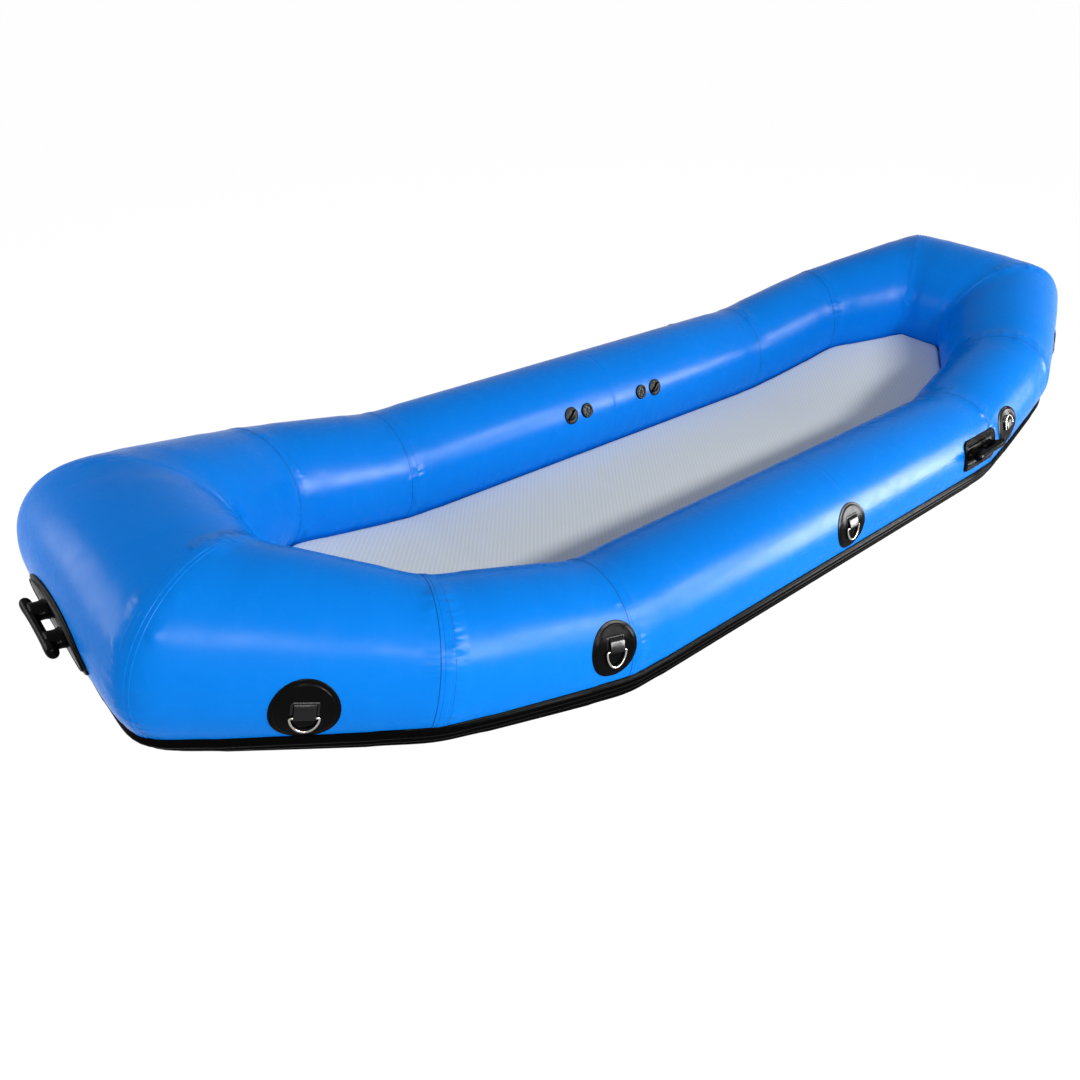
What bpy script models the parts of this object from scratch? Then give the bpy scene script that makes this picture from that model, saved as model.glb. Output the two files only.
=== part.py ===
"""Whitewater raft: an inflatable hull of twelve mitred tubes round a drop-stitch floor.

The bow points to -X, port is -Y and +Z is up. The origin is at the middle of the hull, on the
ground that the wear skin rests on. Lengths are metres and angles are degrees.
"""
import math

import bmesh
import bpy
from mathutils import Matrix, Vector

# Hull: half lengths, half widths and rise of the tube's centre line at its three kinds of seam
TUBE_RADIUS = 0.180
END_RADIUS = 0.218
MID_HALF_LENGTH = 0.875
QUARTER_HALF_LENGTH = 1.320
CORNER_HALF_LENGTH = 1.694
MID_HALF_WIDTH = 0.495
QUARTER_HALF_WIDTH = 0.427
CORNER_HALF_WIDTH = 0.212
QUARTER_RISE = 0.104
CORNER_RISE = 0.202
FABRIC = 0.0012
BAFFLE_DEPTH = 0.33
SEAT_GAP = 0.0003
FLAT_TOLERANCE = 0.00001
TUBE_SIDES = 32
TUBE_COUNTS = {"mid": 1, "quarter": 1, "corner": 2, "end": 3}

# Wear skin and rubbing strake, by their angles below the tube's outer side at each kind of seam
WEAR_THICKNESS = 0.0012
WEAR_GAP = 0.0006
WEAR_TOP_ANGLES = {"mid": -22.5, "quarter": -22.5, "corner": -27.6}
WEAR_END_ANGLE = -101.25
STRAKE_TOP_ANGLES = {"mid": -4.0, "quarter": -14.0, "corner": -22.0}
STRAKE_SPAN_ANGLE = 22.5
STRAKE_BASE = 0.0035
STRAKE_RIDGE = 0.0070
STRAKE_RIDGE_SHARES = ((0.06, 0.0), (0.30, 1.0), (0.70, 1.0), (0.94, 0.0))
STRAKE_BACK_SHARES = (1.0, 0.75, 0.5, 0.25, 0.0)
STRAKE_RIDGES = 3
STRAKE_CLEARANCE = 0.0028
STRAKE_COUNTS = {"mid": 1, "quarter": 3, "corner": 4, "end": 3}

# Drop-stitch floor, held by its edge in the lower inner side of the tubes
FLOOR_TOP_ANGLE = 212.0
FLOOR_LOW_ANGLE = 253.125
FLOOR_SKIN = 0.0012
FLOOR_CLEARANCES = {"mid": 0.0010, "quarter": 0.0020, "corner": 0.0040}
FLOOR_VALVE_X = -0.700
FLOOR_VALVE_Y = -0.262

# Lashing points: patch, webbing loop and steel ring
PATCH_RADIUS = 0.068
PATCH_THICKNESS = 0.0012
COVER_RADIUS = 0.052
COVER_THICKNESS = 0.0012
PATCH_CLEARANCE = 0.0008
WEBBING_HALF_WIDTH = 0.0210
WEBBING_THICKNESS = 0.0014
WEBBING_TAIL = 0.017
LOOP_STEPS = 5
RING_WIRE_RADIUS = 0.0030
RING_HALF_BAR = 0.0280
RING_DEPTH = 0.0400
RING_BORE_GAP = 0.0005
RING_ARC_STEPS = 8
RING_LEAN = 3.0
RING_MID_ANGLE = 20.0
RING_QUARTER_ANGLE = 22.5
RING_CORNER_ANGLE = 2.0
RING_BOW_QUARTER_INSET = 0.066
RING_STERN_QUARTER_INSET = 0.098
RING_CORNER_INSET = 0.198

# Moulded grab handles
HANDLE_X = 0.770
HANDLE_ANGLE = 22.5
END_HANDLE_ANGLE = 0.0
HANDLE_PLATE_HALF_LENGTH = 0.105
HANDLE_PLATE_HALF_WIDTH = 0.052
HANDLE_PLATE_CORNER = 0.022
LEAF_HALF_LENGTH = 0.150
LEAF_HALF_WIDTH = 0.056
LEAF_TAPER = 0.35
LEAF_SIDES = 20
CORNER_STEPS = 3
HANDLE_PLATE = 0.0035
HANDLE_STEP = 0.0030
HANDLE_STEP_INSET = 0.014
GRIP_HALF_SPAN = 0.074
GRIP_HEIGHT = 0.036
GRIP_RADIUS = 0.0105
GRIP_STATIONS = ((0.0, 0.0, 1.45), (0.0, 0.5, 1.15), (0.33, 0.85, 1.0), (1.0, 0.98, 0.95))

# Inflation valve, measured from the skin that its flange sits on
VALVE_ANGLE = 157.5
VALVE_X = 0.208
VALVE_FLANGE_RADIUS = 0.0290
VALVE_FLANGE = 0.0050
VALVE_BARREL_RADIUS = 0.0220
VALVE_BORE_RADIUS = 0.0180
VALVE_DEPTH = 0.0270
VALVE_SEAT_RADIUS = 0.0130
VALVE_SEAT = 0.0030
VALVE_RECESS_RADIUS = 0.0245
VALVE_RECESS = 0.0035
VALVE_SPIDER_LOW = 0.0160
VALVE_SPIDER = 0.0030
CAP_PLATE = 0.0032
CAP_BAR_HALF_WIDTH = 0.0045
CAP_BAR_HEIGHT = 0.0080
CAP_BAR_TOP_LENGTH = 0.9
CAP_BAR_TOP_WIDTH = 0.7
CAP_GAP = 0.0004
CAP_SIDE_GAP = 0.0009

# Pressure relief valve, whose disc opens outwards under a grille
RELIEF_X = 0.135
RELIEF_FLANGE_RADIUS = 0.0250
RELIEF_FLANGE = 0.0065
RELIEF_BARREL_RADIUS = 0.0195
RELIEF_BORE_RADIUS = 0.0160
RELIEF_DEPTH = 0.0280
RELIEF_SEAT_RADIUS = 0.0110
RELIEF_SEAT_DEPTH = 0.0030
RELIEF_SEAT = 0.0025
RELIEF_GRILLE = 0.0016
RELIEF_SLOTS = 6
RELIEF_SPIDER_LOW = 0.0150
RELIEF_SPIDER = 0.0030

# Parts that both kinds of valve share
STEM_RADIUS = 0.0030
STEM_CLEARANCE = 0.0004
DISC_THICKNESS = 0.0020
DISC_OVERLAP = 0.0025
BUTTON_RADIUS = 0.0075
BUTTON_THICKNESS = 0.0018
HUB_RADIUS = 0.0070
SPIDER_ARMS = 3
SPIDER_ARM_SHARE = 0.35
SPRING_RADIUS = 0.0053
SPRING_WIRE_RADIUS = 0.0004
SPRING_TURNS = 3
SPRING_POINTS = 8
NUT_THICKNESS = 0.0060
NUT_WIDTH = 0.0075
NUT_DROP = 0.0045
BARREL_CLEARANCE = 0.0004
FLANGE_CHAMFER = 0.4
PATCH_SIDES = 16
VALVE_SIDES = 16
SMALL_SIDES = 10
HUB_SIDES = 8
CUT_OVERRUN = 0.010
WELD_DISTANCE = 0.00001

PARTS = "whitewater_raft"
CUTTERS = "cutters"


def clear_scene():
    """Remove every object, mesh and curve that the file opened with."""
    for item in list(bpy.data.objects):
        bpy.data.objects.remove(item, do_unlink=True)


def collection(name):
    """Return the collection of this name, made once."""
    found = bpy.data.collections.get(name)
    if found is None:
        found = bpy.data.collections.new(name)
        bpy.context.scene.collection.children.link(found)
    return found


def material(name, colour, roughness, metallic=0.0):
    """Return a Principled material of one colour, roughness and metallic value."""
    found = bpy.data.materials.get(name)
    if found is not None:
        return found
    found = bpy.data.materials.new(name)
    found.use_nodes = True
    shader = found.node_tree.nodes["Principled BSDF"]
    shader.inputs["Base Color"].default_value = (*colour, 1.0)
    shader.inputs["Roughness"].default_value = roughness
    shader.inputs["Metallic"].default_value = metallic
    return found


def blue_pvc():
    return material("blue_coated_pvc", (0.010, 0.245, 0.87), 0.35)


def black_pvc():
    return material("black_reinforced_pvc", (0.012, 0.012, 0.013), 0.55)


def black_rubber():
    return material("black_moulded_rubber", (0.008, 0.008, 0.009), 0.45)


def black_webbing():
    return material("black_webbing", (0.010, 0.010, 0.011), 0.85)


def floor_fabric():
    return material("grey_floor_fabric", (0.52, 0.56, 0.60), 0.65)


def black_nylon():
    return material("black_moulded_nylon", (0.010, 0.010, 0.011), 0.40)


def stainless():
    return material("stainless_steel", (0.62, 0.62, 0.60), 0.22, 1.0)


def add_object(name, data, look, matrix=None, target=PARTS):
    """Link an object of this mesh or curve, placed by a matrix and given one material."""
    item = bpy.data.objects.new(name, data)
    collection(target).objects.link(item)
    if look is not None:
        data.materials.append(look)
    if matrix is not None:
        item.matrix_world = matrix
    if target == CUTTERS:
        item.hide_render = True
        item.display_type = "WIRE"
    return item


def mesh_from(bm, name, smooth_angle=30.0):
    """Turn a bmesh into a mesh with its normals outward and its round sides smooth."""
    bmesh.ops.recalc_face_normals(bm, faces=bm.faces)
    mesh = bpy.data.meshes.new(name)
    bm.to_mesh(mesh)
    bm.free()
    mesh.shade_smooth()
    mesh.set_sharp_from_angle(angle=math.radians(smooth_angle))
    return mesh


def bridge(bm, here, there, centre, outward):
    """Join two closed rows of vertices; a bent quad is split on its outer or inner diagonal."""
    count = len(here)
    for k in range(count):
        n = (k + 1) % count
        first = ((here[k].co + there[n].co) / 2 - centre).length
        second = ((here[n].co + there[k].co) / 2 - centre).length
        if abs(first - second) < FLAT_TOLERANCE:
            bm.faces.new((here[k], here[n], there[n], there[k]))
        elif (first > second) == outward:
            bm.faces.new((here[k], here[n], there[n]))
            bm.faces.new((here[k], there[n], there[k]))
        else:
            bm.faces.new((here[k], here[n], there[k]))
            bm.faces.new((here[n], there[n], there[k]))


def loft(bm, loops, centres, outward):
    """Bridge closed loops of equal count, each with its centre, into a closed ring."""
    rows = [[bm.verts.new(point) for point in loop] for loop in loops]
    for k in range(len(rows)):
        n = (k + 1) % len(rows)
        bridge(bm, rows[k], rows[n], (centres[k] + centres[n]) / 2, outward)


def circle_points(radius, sides, turn_share=0.0):
    """Points round a circle in the plane, from a share of one side's angle on."""
    step = math.tau / sides
    return [
        (radius * math.cos((k + turn_share) * step), radius * math.sin((k + turn_share) * step))
        for k in range(sides)
    ]


def arc_points(centre, radius, start, end, steps):
    """Points on an arc between two angles in degrees."""
    points = []
    for k in range(steps + 1):
        angle = math.radians(start + (end - start) * k / steps)
        points.append((centre[0] + radius * math.cos(angle), centre[1] + radius * math.sin(angle)))
    return points


# The hull's centre line, its seams and its panels

FACET = 360.0 / TUBE_SIDES
MID_HEIGHT = TUBE_RADIUS * math.cos(math.pi / TUBE_SIDES) + WEAR_GAP + WEAR_THICKNESS

SEAM_KINDS = {
    "mid": (MID_HALF_LENGTH, MID_HALF_WIDTH, MID_HEIGHT, TUBE_RADIUS),
    "quarter": (QUARTER_HALF_LENGTH, QUARTER_HALF_WIDTH, MID_HEIGHT + QUARTER_RISE, TUBE_RADIUS),
    "corner": (CORNER_HALF_LENGTH, CORNER_HALF_WIDTH, MID_HEIGHT + CORNER_RISE, END_RADIUS),
}
PORT_SEAMS = (("corner", -1), ("quarter", -1), ("mid", -1), ("mid", 1), ("quarter", 1), ("corner", 1))
PANEL_NAMES = (
    "port_bow_corner_tube",
    "port_bow_quarter_tube",
    "port_mid_tube",
    "port_stern_quarter_tube",
    "port_stern_corner_tube",
    "stern_tube",
    "starboard_stern_corner_tube",
    "starboard_stern_quarter_tube",
    "starboard_mid_tube",
    "starboard_bow_quarter_tube",
    "starboard_bow_corner_tube",
    "bow_tube",
)
PORT_MID = 2
STERN = 5
STARBOARD_MID = 8
BOW = 11
PORT_PANELS = 6
HALF = 0.5


def seam_list():
    """The kind, centre and radius of each seam, from the port bow corner round by the stern."""
    seams = []
    for side in (-1, 1):
        order = PORT_SEAMS if side < 0 else tuple(reversed(PORT_SEAMS))
        for kind, end in order:
            half_length, half_width, height, radius = SEAM_KINDS[kind]
            seams.append((kind, Vector((end * half_length, side * half_width, height)), radius))
    return seams


SEAMS = seam_list()


def panel_axis(panel):
    """Unit vector along a panel's centre line."""
    start = SEAMS[panel][1]
    end = SEAMS[(panel + 1) % len(SEAMS)][1]
    return (end - start).normalized()


def panel_kind(panel):
    """Whether a panel is at mid-length, a quarter, a corner or an end of the hull."""
    kinds = {SEAMS[panel % len(SEAMS)][0], SEAMS[(panel + 1) % len(SEAMS)][0]}
    if len(kinds) == 1:
        return "mid" if "mid" in kinds else "end"
    return "corner" if "corner" in kinds else "quarter"


def run_count(counts, panel):
    """Number of equal runs that a panel is split into, from the counts of its kind."""
    return round(counts[panel_kind(panel)])


def panel_length(panel):
    """Length of a panel's centre line."""
    return (SEAMS[(panel + 1) % len(SEAMS)][1] - SEAMS[panel][1]).length


def facet_radius(radius, angle):
    """Radius of the many-sided tube at an angle, where its corners lie on the true radius."""
    half = FACET / 2
    offset = (angle - half) % FACET - half
    return radius * math.cos(math.radians(half)) / math.cos(math.radians(offset))


def seam_point(seam, angle, height):
    """Point of the mitred section at a seam, at an angle from the outer side and a height."""
    before = panel_axis(seam - 1)
    after = panel_axis(seam)
    along = (before + after).normalized()
    out = along.cross(Vector((0, 0, 1))).normalized()
    up = out.cross(along)
    bend = (after - before).normalized()
    stretch = 2 / (before + after).length
    turn = math.radians(angle)
    radius = facet_radius(SEAMS[seam][2], angle) + height
    spoke = (out * math.cos(turn) + up * math.sin(turn)) * radius
    return SEAMS[seam][1] + spoke + bend * (spoke.dot(bend) * (stretch - 1))


def skin_point(panel, distance, angle, height):
    """Point over a panel's skin, at a distance along its axis from its first seam."""
    axis = panel_axis(panel)
    first = seam_point(panel, angle, height)
    last = seam_point((panel + 1) % len(SEAMS), angle, height)
    run = last - first
    share = (distance - (first - SEAMS[panel][1]).dot(axis)) / run.dot(axis)
    return first + run * share


def centre_point(panel, share):
    """Point on a panel's centre line at a share of its length."""
    return SEAMS[panel % len(SEAMS)][1].lerp(SEAMS[(panel + 1) % len(SEAMS)][1], share)


def panel_loop(panel, share, angles, height):
    """Points round a panel at a share of its length, a seat gap inside its mitre planes."""
    inset = panel_axis(panel) * SEAT_GAP
    points = []
    for angle in angles:
        first = seam_point(panel, angle, height) + inset
        last = seam_point((panel + 1) % len(SEAMS), angle, height) - inset
        points.append(first.lerp(last, share))
    return points


def facet_angles():
    """The angles of the tube's edges, with one facet flat on the ground."""
    return [FACET / 2 + FACET * k for k in range(TUBE_SIDES)]


class Seat:
    """A place on a panel's skin: X runs along the tube, Y round it and Z out of it."""

    def __init__(self, panel, distance, angle):
        self.panel = panel
        self.distance = distance
        self.angle = angle
        origin = skin_point(panel, distance, angle, 0)
        probe = FABRIC
        along = (skin_point(panel, distance + probe, angle, 0) - origin).normalized()
        turn = math.degrees(probe / TUBE_RADIUS)
        above = skin_point(panel, distance, angle + turn, 0)
        below = skin_point(panel, distance, angle - turn, 0)
        out = along.cross(above - below).normalized()
        axes = Matrix((along, out.cross(along), out)).transposed()
        self.matrix = Matrix.Translation(origin) @ axes.to_4x4()
        self.radius = (origin - SEAMS[panel][1] - panel_axis(panel) * distance).length

    def over(self, x, y, z):
        """Local place of a flat point once it is laid round the tube."""
        angle = self.angle + math.degrees(y / self.radius)
        return self.matrix.inverted() @ skin_point(self.panel, self.distance + x, angle, z)

    def facet_lines(self):
        """Local Y of each edge of the tube near the seat."""
        first = math.floor(self.angle / FACET) - TUBE_SIDES // 4
        edges = [FACET / 2 + FACET * (first + k) for k in range(TUBE_SIDES // 2)]
        return [math.radians(edge - self.angle) * self.radius for edge in edges]


def crease(bm, seat, reach):
    """Cut a flat shape along the edges of the tube that it will lie on."""
    for line in seat.facet_lines():
        if abs(line) < reach - FABRIC:
            geometry = bm.verts[:] + bm.edges[:] + bm.faces[:]
            bmesh.ops.bisect_plane(bm, geom=geometry, plane_co=(0, line, 0), plane_no=(0, 1, 0))


def raise_faces(bm, faces):
    """Extrude faces in place and return the vertices of the new ones."""
    made = bmesh.ops.extrude_face_region(bm, geom=faces)["geom"]
    return {part for part in made if isinstance(part, bmesh.types.BMVert)}


def wrapped_plate(seat, outline, low, high):
    """A flat outline laid round the tube between two heights, creased where the tube is."""
    bm = bmesh.new()
    bm.faces.new([bm.verts.new((x, y, 0)) for x, y in outline])
    crease(bm, seat, max(abs(y) for x, y in outline))
    raised = raise_faces(bm, bm.faces[:])
    for vert in bm.verts:
        height = high if vert in raised else low
        vert.co = seat.over(vert.co.x, vert.co.y, height)
    return bm


def stepped_plate(seat, outline, inner, low, high, top):
    """A plate laid round the tube whose middle, inside a second outline, stands higher."""
    bm = bmesh.new()
    rim = [bm.verts.new((x, y, 0)) for x, y in outline]
    step = [bm.verts.new((x, y, 0)) for x, y in inner]
    for k in range(len(rim)):
        n = (k + 1) % len(rim)
        bm.faces.new((rim[k], rim[n], step[n], step[k]))
    middle = bm.faces.new(step)
    middle.material_index = 1
    crease(bm, seat, max(abs(y) for x, y in outline))
    raised = raise_faces(bm, bm.faces[:])
    inside = [face for face in bm.faces if face.material_index == 1 and set(face.verts) <= raised]
    highest = raise_faces(bm, inside)
    bmesh.ops.delete(bm, geom=inside, context="FACES")
    for face in bm.faces:
        face.material_index = 0
    for vert in bm.verts:
        height = low
        if vert in raised:
            height = high
        if vert in highest:
            height = top
        vert.co = seat.over(vert.co.x, vert.co.y, height)
    return bm


def turned(name, profile, sides, look, matrix, target=PARTS, closed=True):
    """A profile of radius and height turned round local Z by a Screw modifier."""
    mesh = bpy.data.meshes.new(name)
    verts = [(radius, 0, height) for radius, height in profile]
    edges = [(k, k + 1) for k in range(len(verts) - 1)]
    if closed:
        edges.append((len(verts) - 1, 0))
    mesh.from_pydata(verts, edges, [])
    item = add_object(name, mesh, look, matrix, target)
    screw = item.modifiers.new("turn", "SCREW")
    screw.steps = sides
    screw.render_steps = sides
    screw.use_merge_vertices = True
    screw.merge_threshold = WELD_DISTANCE
    screw.use_smooth_shade = True
    return item


def flat_curve(name, outlines, half_thickness):
    """A filled 2D curve of an outline and its holes."""
    curve = bpy.data.curves.new(name, "CURVE")
    curve.dimensions = "2D"
    curve.fill_mode = "BOTH"
    curve.extrude = half_thickness
    for outline in outlines:
        spline = curve.splines.new("POLY")
        spline.points.add(len(outline) - 1)
        for point, (x, y) in zip(spline.points, outline):
            point.co = (x, y, 0, 1)
        spline.use_cyclic_u = True
    return curve


def wire_curve(name, points, radius, sides_step, closed=False, radii=None):
    """A round wire along straight runs between points."""
    curve = bpy.data.curves.new(name, "CURVE")
    curve.dimensions = "3D"
    curve.bevel_depth = radius
    curve.bevel_resolution = sides_step
    curve.use_fill_caps = not closed
    spline = curve.splines.new("POLY")
    spline.points.add(len(points) - 1)
    for k, point in enumerate(points):
        spline.points[k].co = (*point, 1)
        spline.points[k].radius = radii[k] if radii else 1
    spline.use_cyclic_u = closed
    spline.use_smooth = True
    return curve


def as_mesh(item):
    """Replace a curve object by a mesh object of the same name, with its caps welded."""
    bpy.context.view_layer.update()
    name = item.name
    place = item.matrix_world.copy()
    home = item.users_collection[0]
    mesh = bpy.data.meshes.new_from_object(item.evaluated_get(bpy.context.evaluated_depsgraph_get()))
    bm = bmesh.new()
    bm.from_mesh(mesh)
    bmesh.ops.remove_doubles(bm, verts=bm.verts, dist=WELD_DISTANCE)
    bmesh.ops.recalc_face_normals(bm, faces=bm.faces)
    bm.to_mesh(mesh)
    bm.free()
    hidden = item.hide_render
    display = item.display_type
    bpy.data.objects.remove(item, do_unlink=True)
    made = bpy.data.objects.new(name, mesh)
    home.objects.link(made)
    made.matrix_world = place
    made.hide_render = hidden
    made.display_type = display
    return made


def boolean(item, tool, operation):
    """Join or cut an object by a tool that stays in the cutters' collection."""
    step = item.modifiers.new(tool.name, "BOOLEAN")
    step.operation = operation
    step.object = tool
    step.solver = "EXACT"


# Hull pieces


def build_tube(panel):
    """One inflated panel: a fabric wall open at both mitred ends."""
    angles = facet_angles()
    bm = bmesh.new()
    steps = run_count(TUBE_COUNTS, panel)
    shares = [step / steps for step in range(steps + 1)]
    loops = [panel_loop(panel, share, angles, 0) for share in shares]
    loops += [panel_loop(panel, share, angles, -FABRIC) for share in reversed(shares)]
    centres = [centre_point(panel, share) for share in shares + shares[::-1]]
    loft(bm, loops, centres, outward=False)
    name = PANEL_NAMES[panel]
    return add_object(name, mesh_from(bm, name), blue_pvc())


def build_baffle(name, panel):
    """The wall between the bow and stern air chambers, a shallow fabric cone."""
    middle = panel_length(panel) / 2
    axis = panel_axis(panel)
    rim = [skin_point(panel, middle, angle, -FABRIC - SEAT_GAP) for angle in facet_angles()]
    tip = centre_point(panel, HALF) + axis * (TUBE_RADIUS * BAFFLE_DEPTH)
    bm = bmesh.new()
    rings = []
    for shift in (Vector(), axis * FABRIC):
        ring = [bm.verts.new(point + shift) for point in rim]
        peak = bm.verts.new(tip + shift)
        for here, there in zip(ring, ring[1:] + ring[:1]):
            bm.faces.new((here, there, peak))
        rings.append(ring)
    bridge(bm, rings[0], rings[1], centre_point(panel, HALF), outward=False)
    return add_object(name, mesh_from(bm, name), blue_pvc())


def floor_angles():
    """Angles of the floor's edge, creased where the tube is."""
    inner = [angle for angle in facet_angles() if FLOOR_TOP_ANGLE < angle < FLOOR_LOW_ANGLE]
    return [FLOOR_TOP_ANGLE] + inner + [FLOOR_LOW_ANGLE]


def build_floor():
    """The drop-stitch floor: a hollow slab that bends up with the tubes at both ends."""
    bm = bmesh.new()
    angles = floor_angles()
    count = len(PORT_SEAMS)
    columns = []
    for port in range(count):
        starboard = len(SEAMS) - 1 - port
        pair = []
        clearance = FLOOR_CLEARANCES[SEAMS[port][0]]
        for seam in (port, starboard):
            pair.append([bm.verts.new(seam_point(seam, angle, clearance)) for angle in angles])
        columns.append(pair)
    steps = len(angles) - 1
    for port in range(count - 1):
        here = columns[port]
        there = columns[port + 1]
        for side in (0, 1):
            for k in range(steps):
                bm.faces.new((here[side][k], here[side][k + 1], there[side][k + 1], there[side][k]))
        for k in (0, steps):
            bm.faces.new((here[0][k], there[0][k], there[1][k], here[1][k]))
    for end in (columns[0], columns[-1]):
        for k in range(steps):
            bm.faces.new((end[0][k], end[0][k + 1], end[1][k + 1], end[1][k]))
    item = add_object("drop_stitch_floor", mesh_from(bm, "drop_stitch_floor"), floor_fabric())
    skin = item.modifiers.new("skin", "SOLIDIFY")
    skin.thickness = FLOOR_SKIN
    skin.offset = -1
    skin.use_even_offset = True
    cut_hole(item, "floor_valve_hole", VALVE_BARREL_RADIUS + BARREL_CLEARANCE, floor_seat())
    return item


def floor_top():
    """Height of the flat middle of the floor."""
    return seam_point(PORT_MID, FLOOR_TOP_ANGLE, FLOOR_CLEARANCES["mid"]).z


def floor_seat():
    """Place of the floor's own valve, near the bow and the port tube."""
    return Matrix.Translation((FLOOR_VALVE_X, FLOOR_VALVE_Y, floor_top()))


def track(first_panel, last_panel, counts):
    """Panel and share of each column along a run of panels, from the first one's first seam."""
    columns = []
    for panel in range(first_panel, last_panel + 1):
        steps = run_count(counts, panel)
        columns += [(panel, step / steps) for step in range(steps)]
    return columns


def track_angle(angles, panel, share):
    """Angle at a share of a panel, between the angles stated for its two kinds of seam."""
    panel %= len(SEAMS)
    first = angles[SEAMS[panel][0]]
    last = angles[SEAMS[(panel + 1) % len(SEAMS)][0]]
    return first + (last - first) * share


def track_point(panel, share, angle, height):
    """Point over a panel's skin at a share of its length."""
    panel %= len(SEAMS)
    first = seam_point(panel, angle, height)
    return first.lerp(seam_point((panel + 1) % len(SEAMS), angle, height), share)


def strake_section(panel, share):
    """Points round the strake's ribbed section at one column."""
    top = track_angle(STRAKE_TOP_ANGLES, panel, share)
    span = STRAKE_SPAN_ANGLE
    points = []
    for ridge in range(STRAKE_RIDGES):
        for across, lift in STRAKE_RIDGE_SHARES:
            angle = top - span * (ridge + across) / STRAKE_RIDGES
            height = STRAKE_CLEARANCE + STRAKE_BASE + STRAKE_RIDGE * lift
            points.append(track_point(panel, share, angle, height))
    for across in STRAKE_BACK_SHARES:
        points.append(track_point(panel, share, top - span * across, STRAKE_CLEARANCE))
    return points


def build_strake():
    """The ribbed rubbing strake, one closed band round the hull."""
    bm = bmesh.new()
    columns = track(0, BOW, STRAKE_COUNTS)
    loops = [strake_section(panel, share) for panel, share in columns]
    loft(bm, loops, [centre_point(panel, share) for panel, share in columns], outward=True)
    return add_object("rubbing_strake", mesh_from(bm, "rubbing_strake"), black_rubber())


def wear_section(panel, share):
    """Closed section of the wear skin at one column, its outer side and then its inner side."""
    edges = [angle - 360 for angle in reversed(facet_angles())]
    angles = [track_angle(WEAR_TOP_ANGLES, panel, share)]
    angles += [edge for edge in edges if WEAR_END_ANGLE < edge < WEAR_TOP_ANGLES["corner"]]
    angles.append(WEAR_END_ANGLE)
    outer = [track_point(panel, share, angle, WEAR_GAP + WEAR_THICKNESS) for angle in angles]
    inner = [track_point(panel, share, angle, WEAR_GAP) for angle in reversed(angles)]
    return outer + inner


def build_wear_skin(name, first_panel, side):
    """The black reinforcement under one half of the hull, a band that meets the ground."""
    last_panel = first_panel + PORT_PANELS
    columns = track(first_panel, last_panel, TUBE_COUNTS)
    columns = [(panel, share) for panel, share in columns if panel > first_panel or share > HALF]
    columns = [(panel, share) for panel, share in columns if panel < last_panel or share < HALF]
    columns = [(first_panel, HALF)] + columns + [(last_panel, HALF)]
    inset = Vector((0, side * SEAT_GAP / 2, 0))
    sections = [wear_section(panel, share) for panel, share in columns]
    for section in (sections[0], sections[-1]):
        section[:] = [point + inset for point in section]
    bm = bmesh.new()
    rows = [[bm.verts.new(point) for point in section] for section in sections]
    centres = [centre_point(panel, share) for panel, share in columns]
    for k in range(len(rows) - 1):
        bridge(bm, rows[k], rows[k + 1], (centres[k] + centres[k + 1]) / 2, outward=True)
    count = len(rows[0])
    for row in (rows[0], rows[-1]):
        for k in range(count // 2 - 1):
            bm.faces.new((row[k], row[k + 1], row[count - 2 - k], row[count - 1 - k]))
    return add_object(name, mesh_from(bm, name), black_pvc())


# Lashing points


def ring_seats():
    """Name, seat and way up of each lashing point."""
    corner_length = panel_length(0)
    quarter_length = panel_length(1)
    mid_length = panel_length(PORT_MID)
    places = (
        ("bow_corner", 0, RING_CORNER_INSET, RING_CORNER_ANGLE, False),
        ("bow_quarter", 1, quarter_length - RING_BOW_QUARTER_INSET, RING_QUARTER_ANGLE, False),
        ("mid", PORT_MID, mid_length / 2, RING_MID_ANGLE, False),
        ("stern_quarter", 3, RING_STERN_QUARTER_INSET, RING_QUARTER_ANGLE, True),
        ("stern_corner", 4, corner_length - RING_CORNER_INSET, RING_CORNER_ANGLE, False),
    )
    seats = []
    for name, panel, distance, angle, raised in places:
        seats.append(("port_" + name, Seat(panel, distance, angle), raised))
    for name, panel, distance, angle, raised in places:
        mirrored = STARBOARD_MID + PORT_MID - panel
        far = panel_length(mirrored) - distance
        seats.append(("starboard_" + name, Seat(mirrored, far, angle), False))
    return seats


def patch_top():
    """Height of the cover disc over the tube's skin."""
    return PATCH_CLEARANCE + PATCH_THICKNESS + COVER_THICKNESS


def ring_axis_height():
    """Height of a steel ring's bar over the tube's skin."""
    return patch_top() + WEBBING_THICKNESS / 2 + RING_WIRE_RADIUS + RING_BORE_GAP


def loop_outline():
    """Side view of a webbing loop and its tail, and the bore that holds the ring's bar."""
    bore = RING_WIRE_RADIUS + RING_BORE_GAP
    outer = bore + WEBBING_THICKNESS
    centre = (0, ring_axis_height())
    low = centre[1] - outer
    tail_top = low + 2 * WEBBING_THICKNESS
    outline = [(WEBBING_TAIL, low), (0, low)]
    outline += arc_points(centre, outer, 270, 45, LOOP_STEPS)[1:]
    outline += [(2 * outer, tail_top), (WEBBING_TAIL, tail_top)]
    hole = [(centre[0] + x, centre[1] + y) for x, y in circle_points(bore, HUB_SIDES)]
    return [outline, hole]


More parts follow.
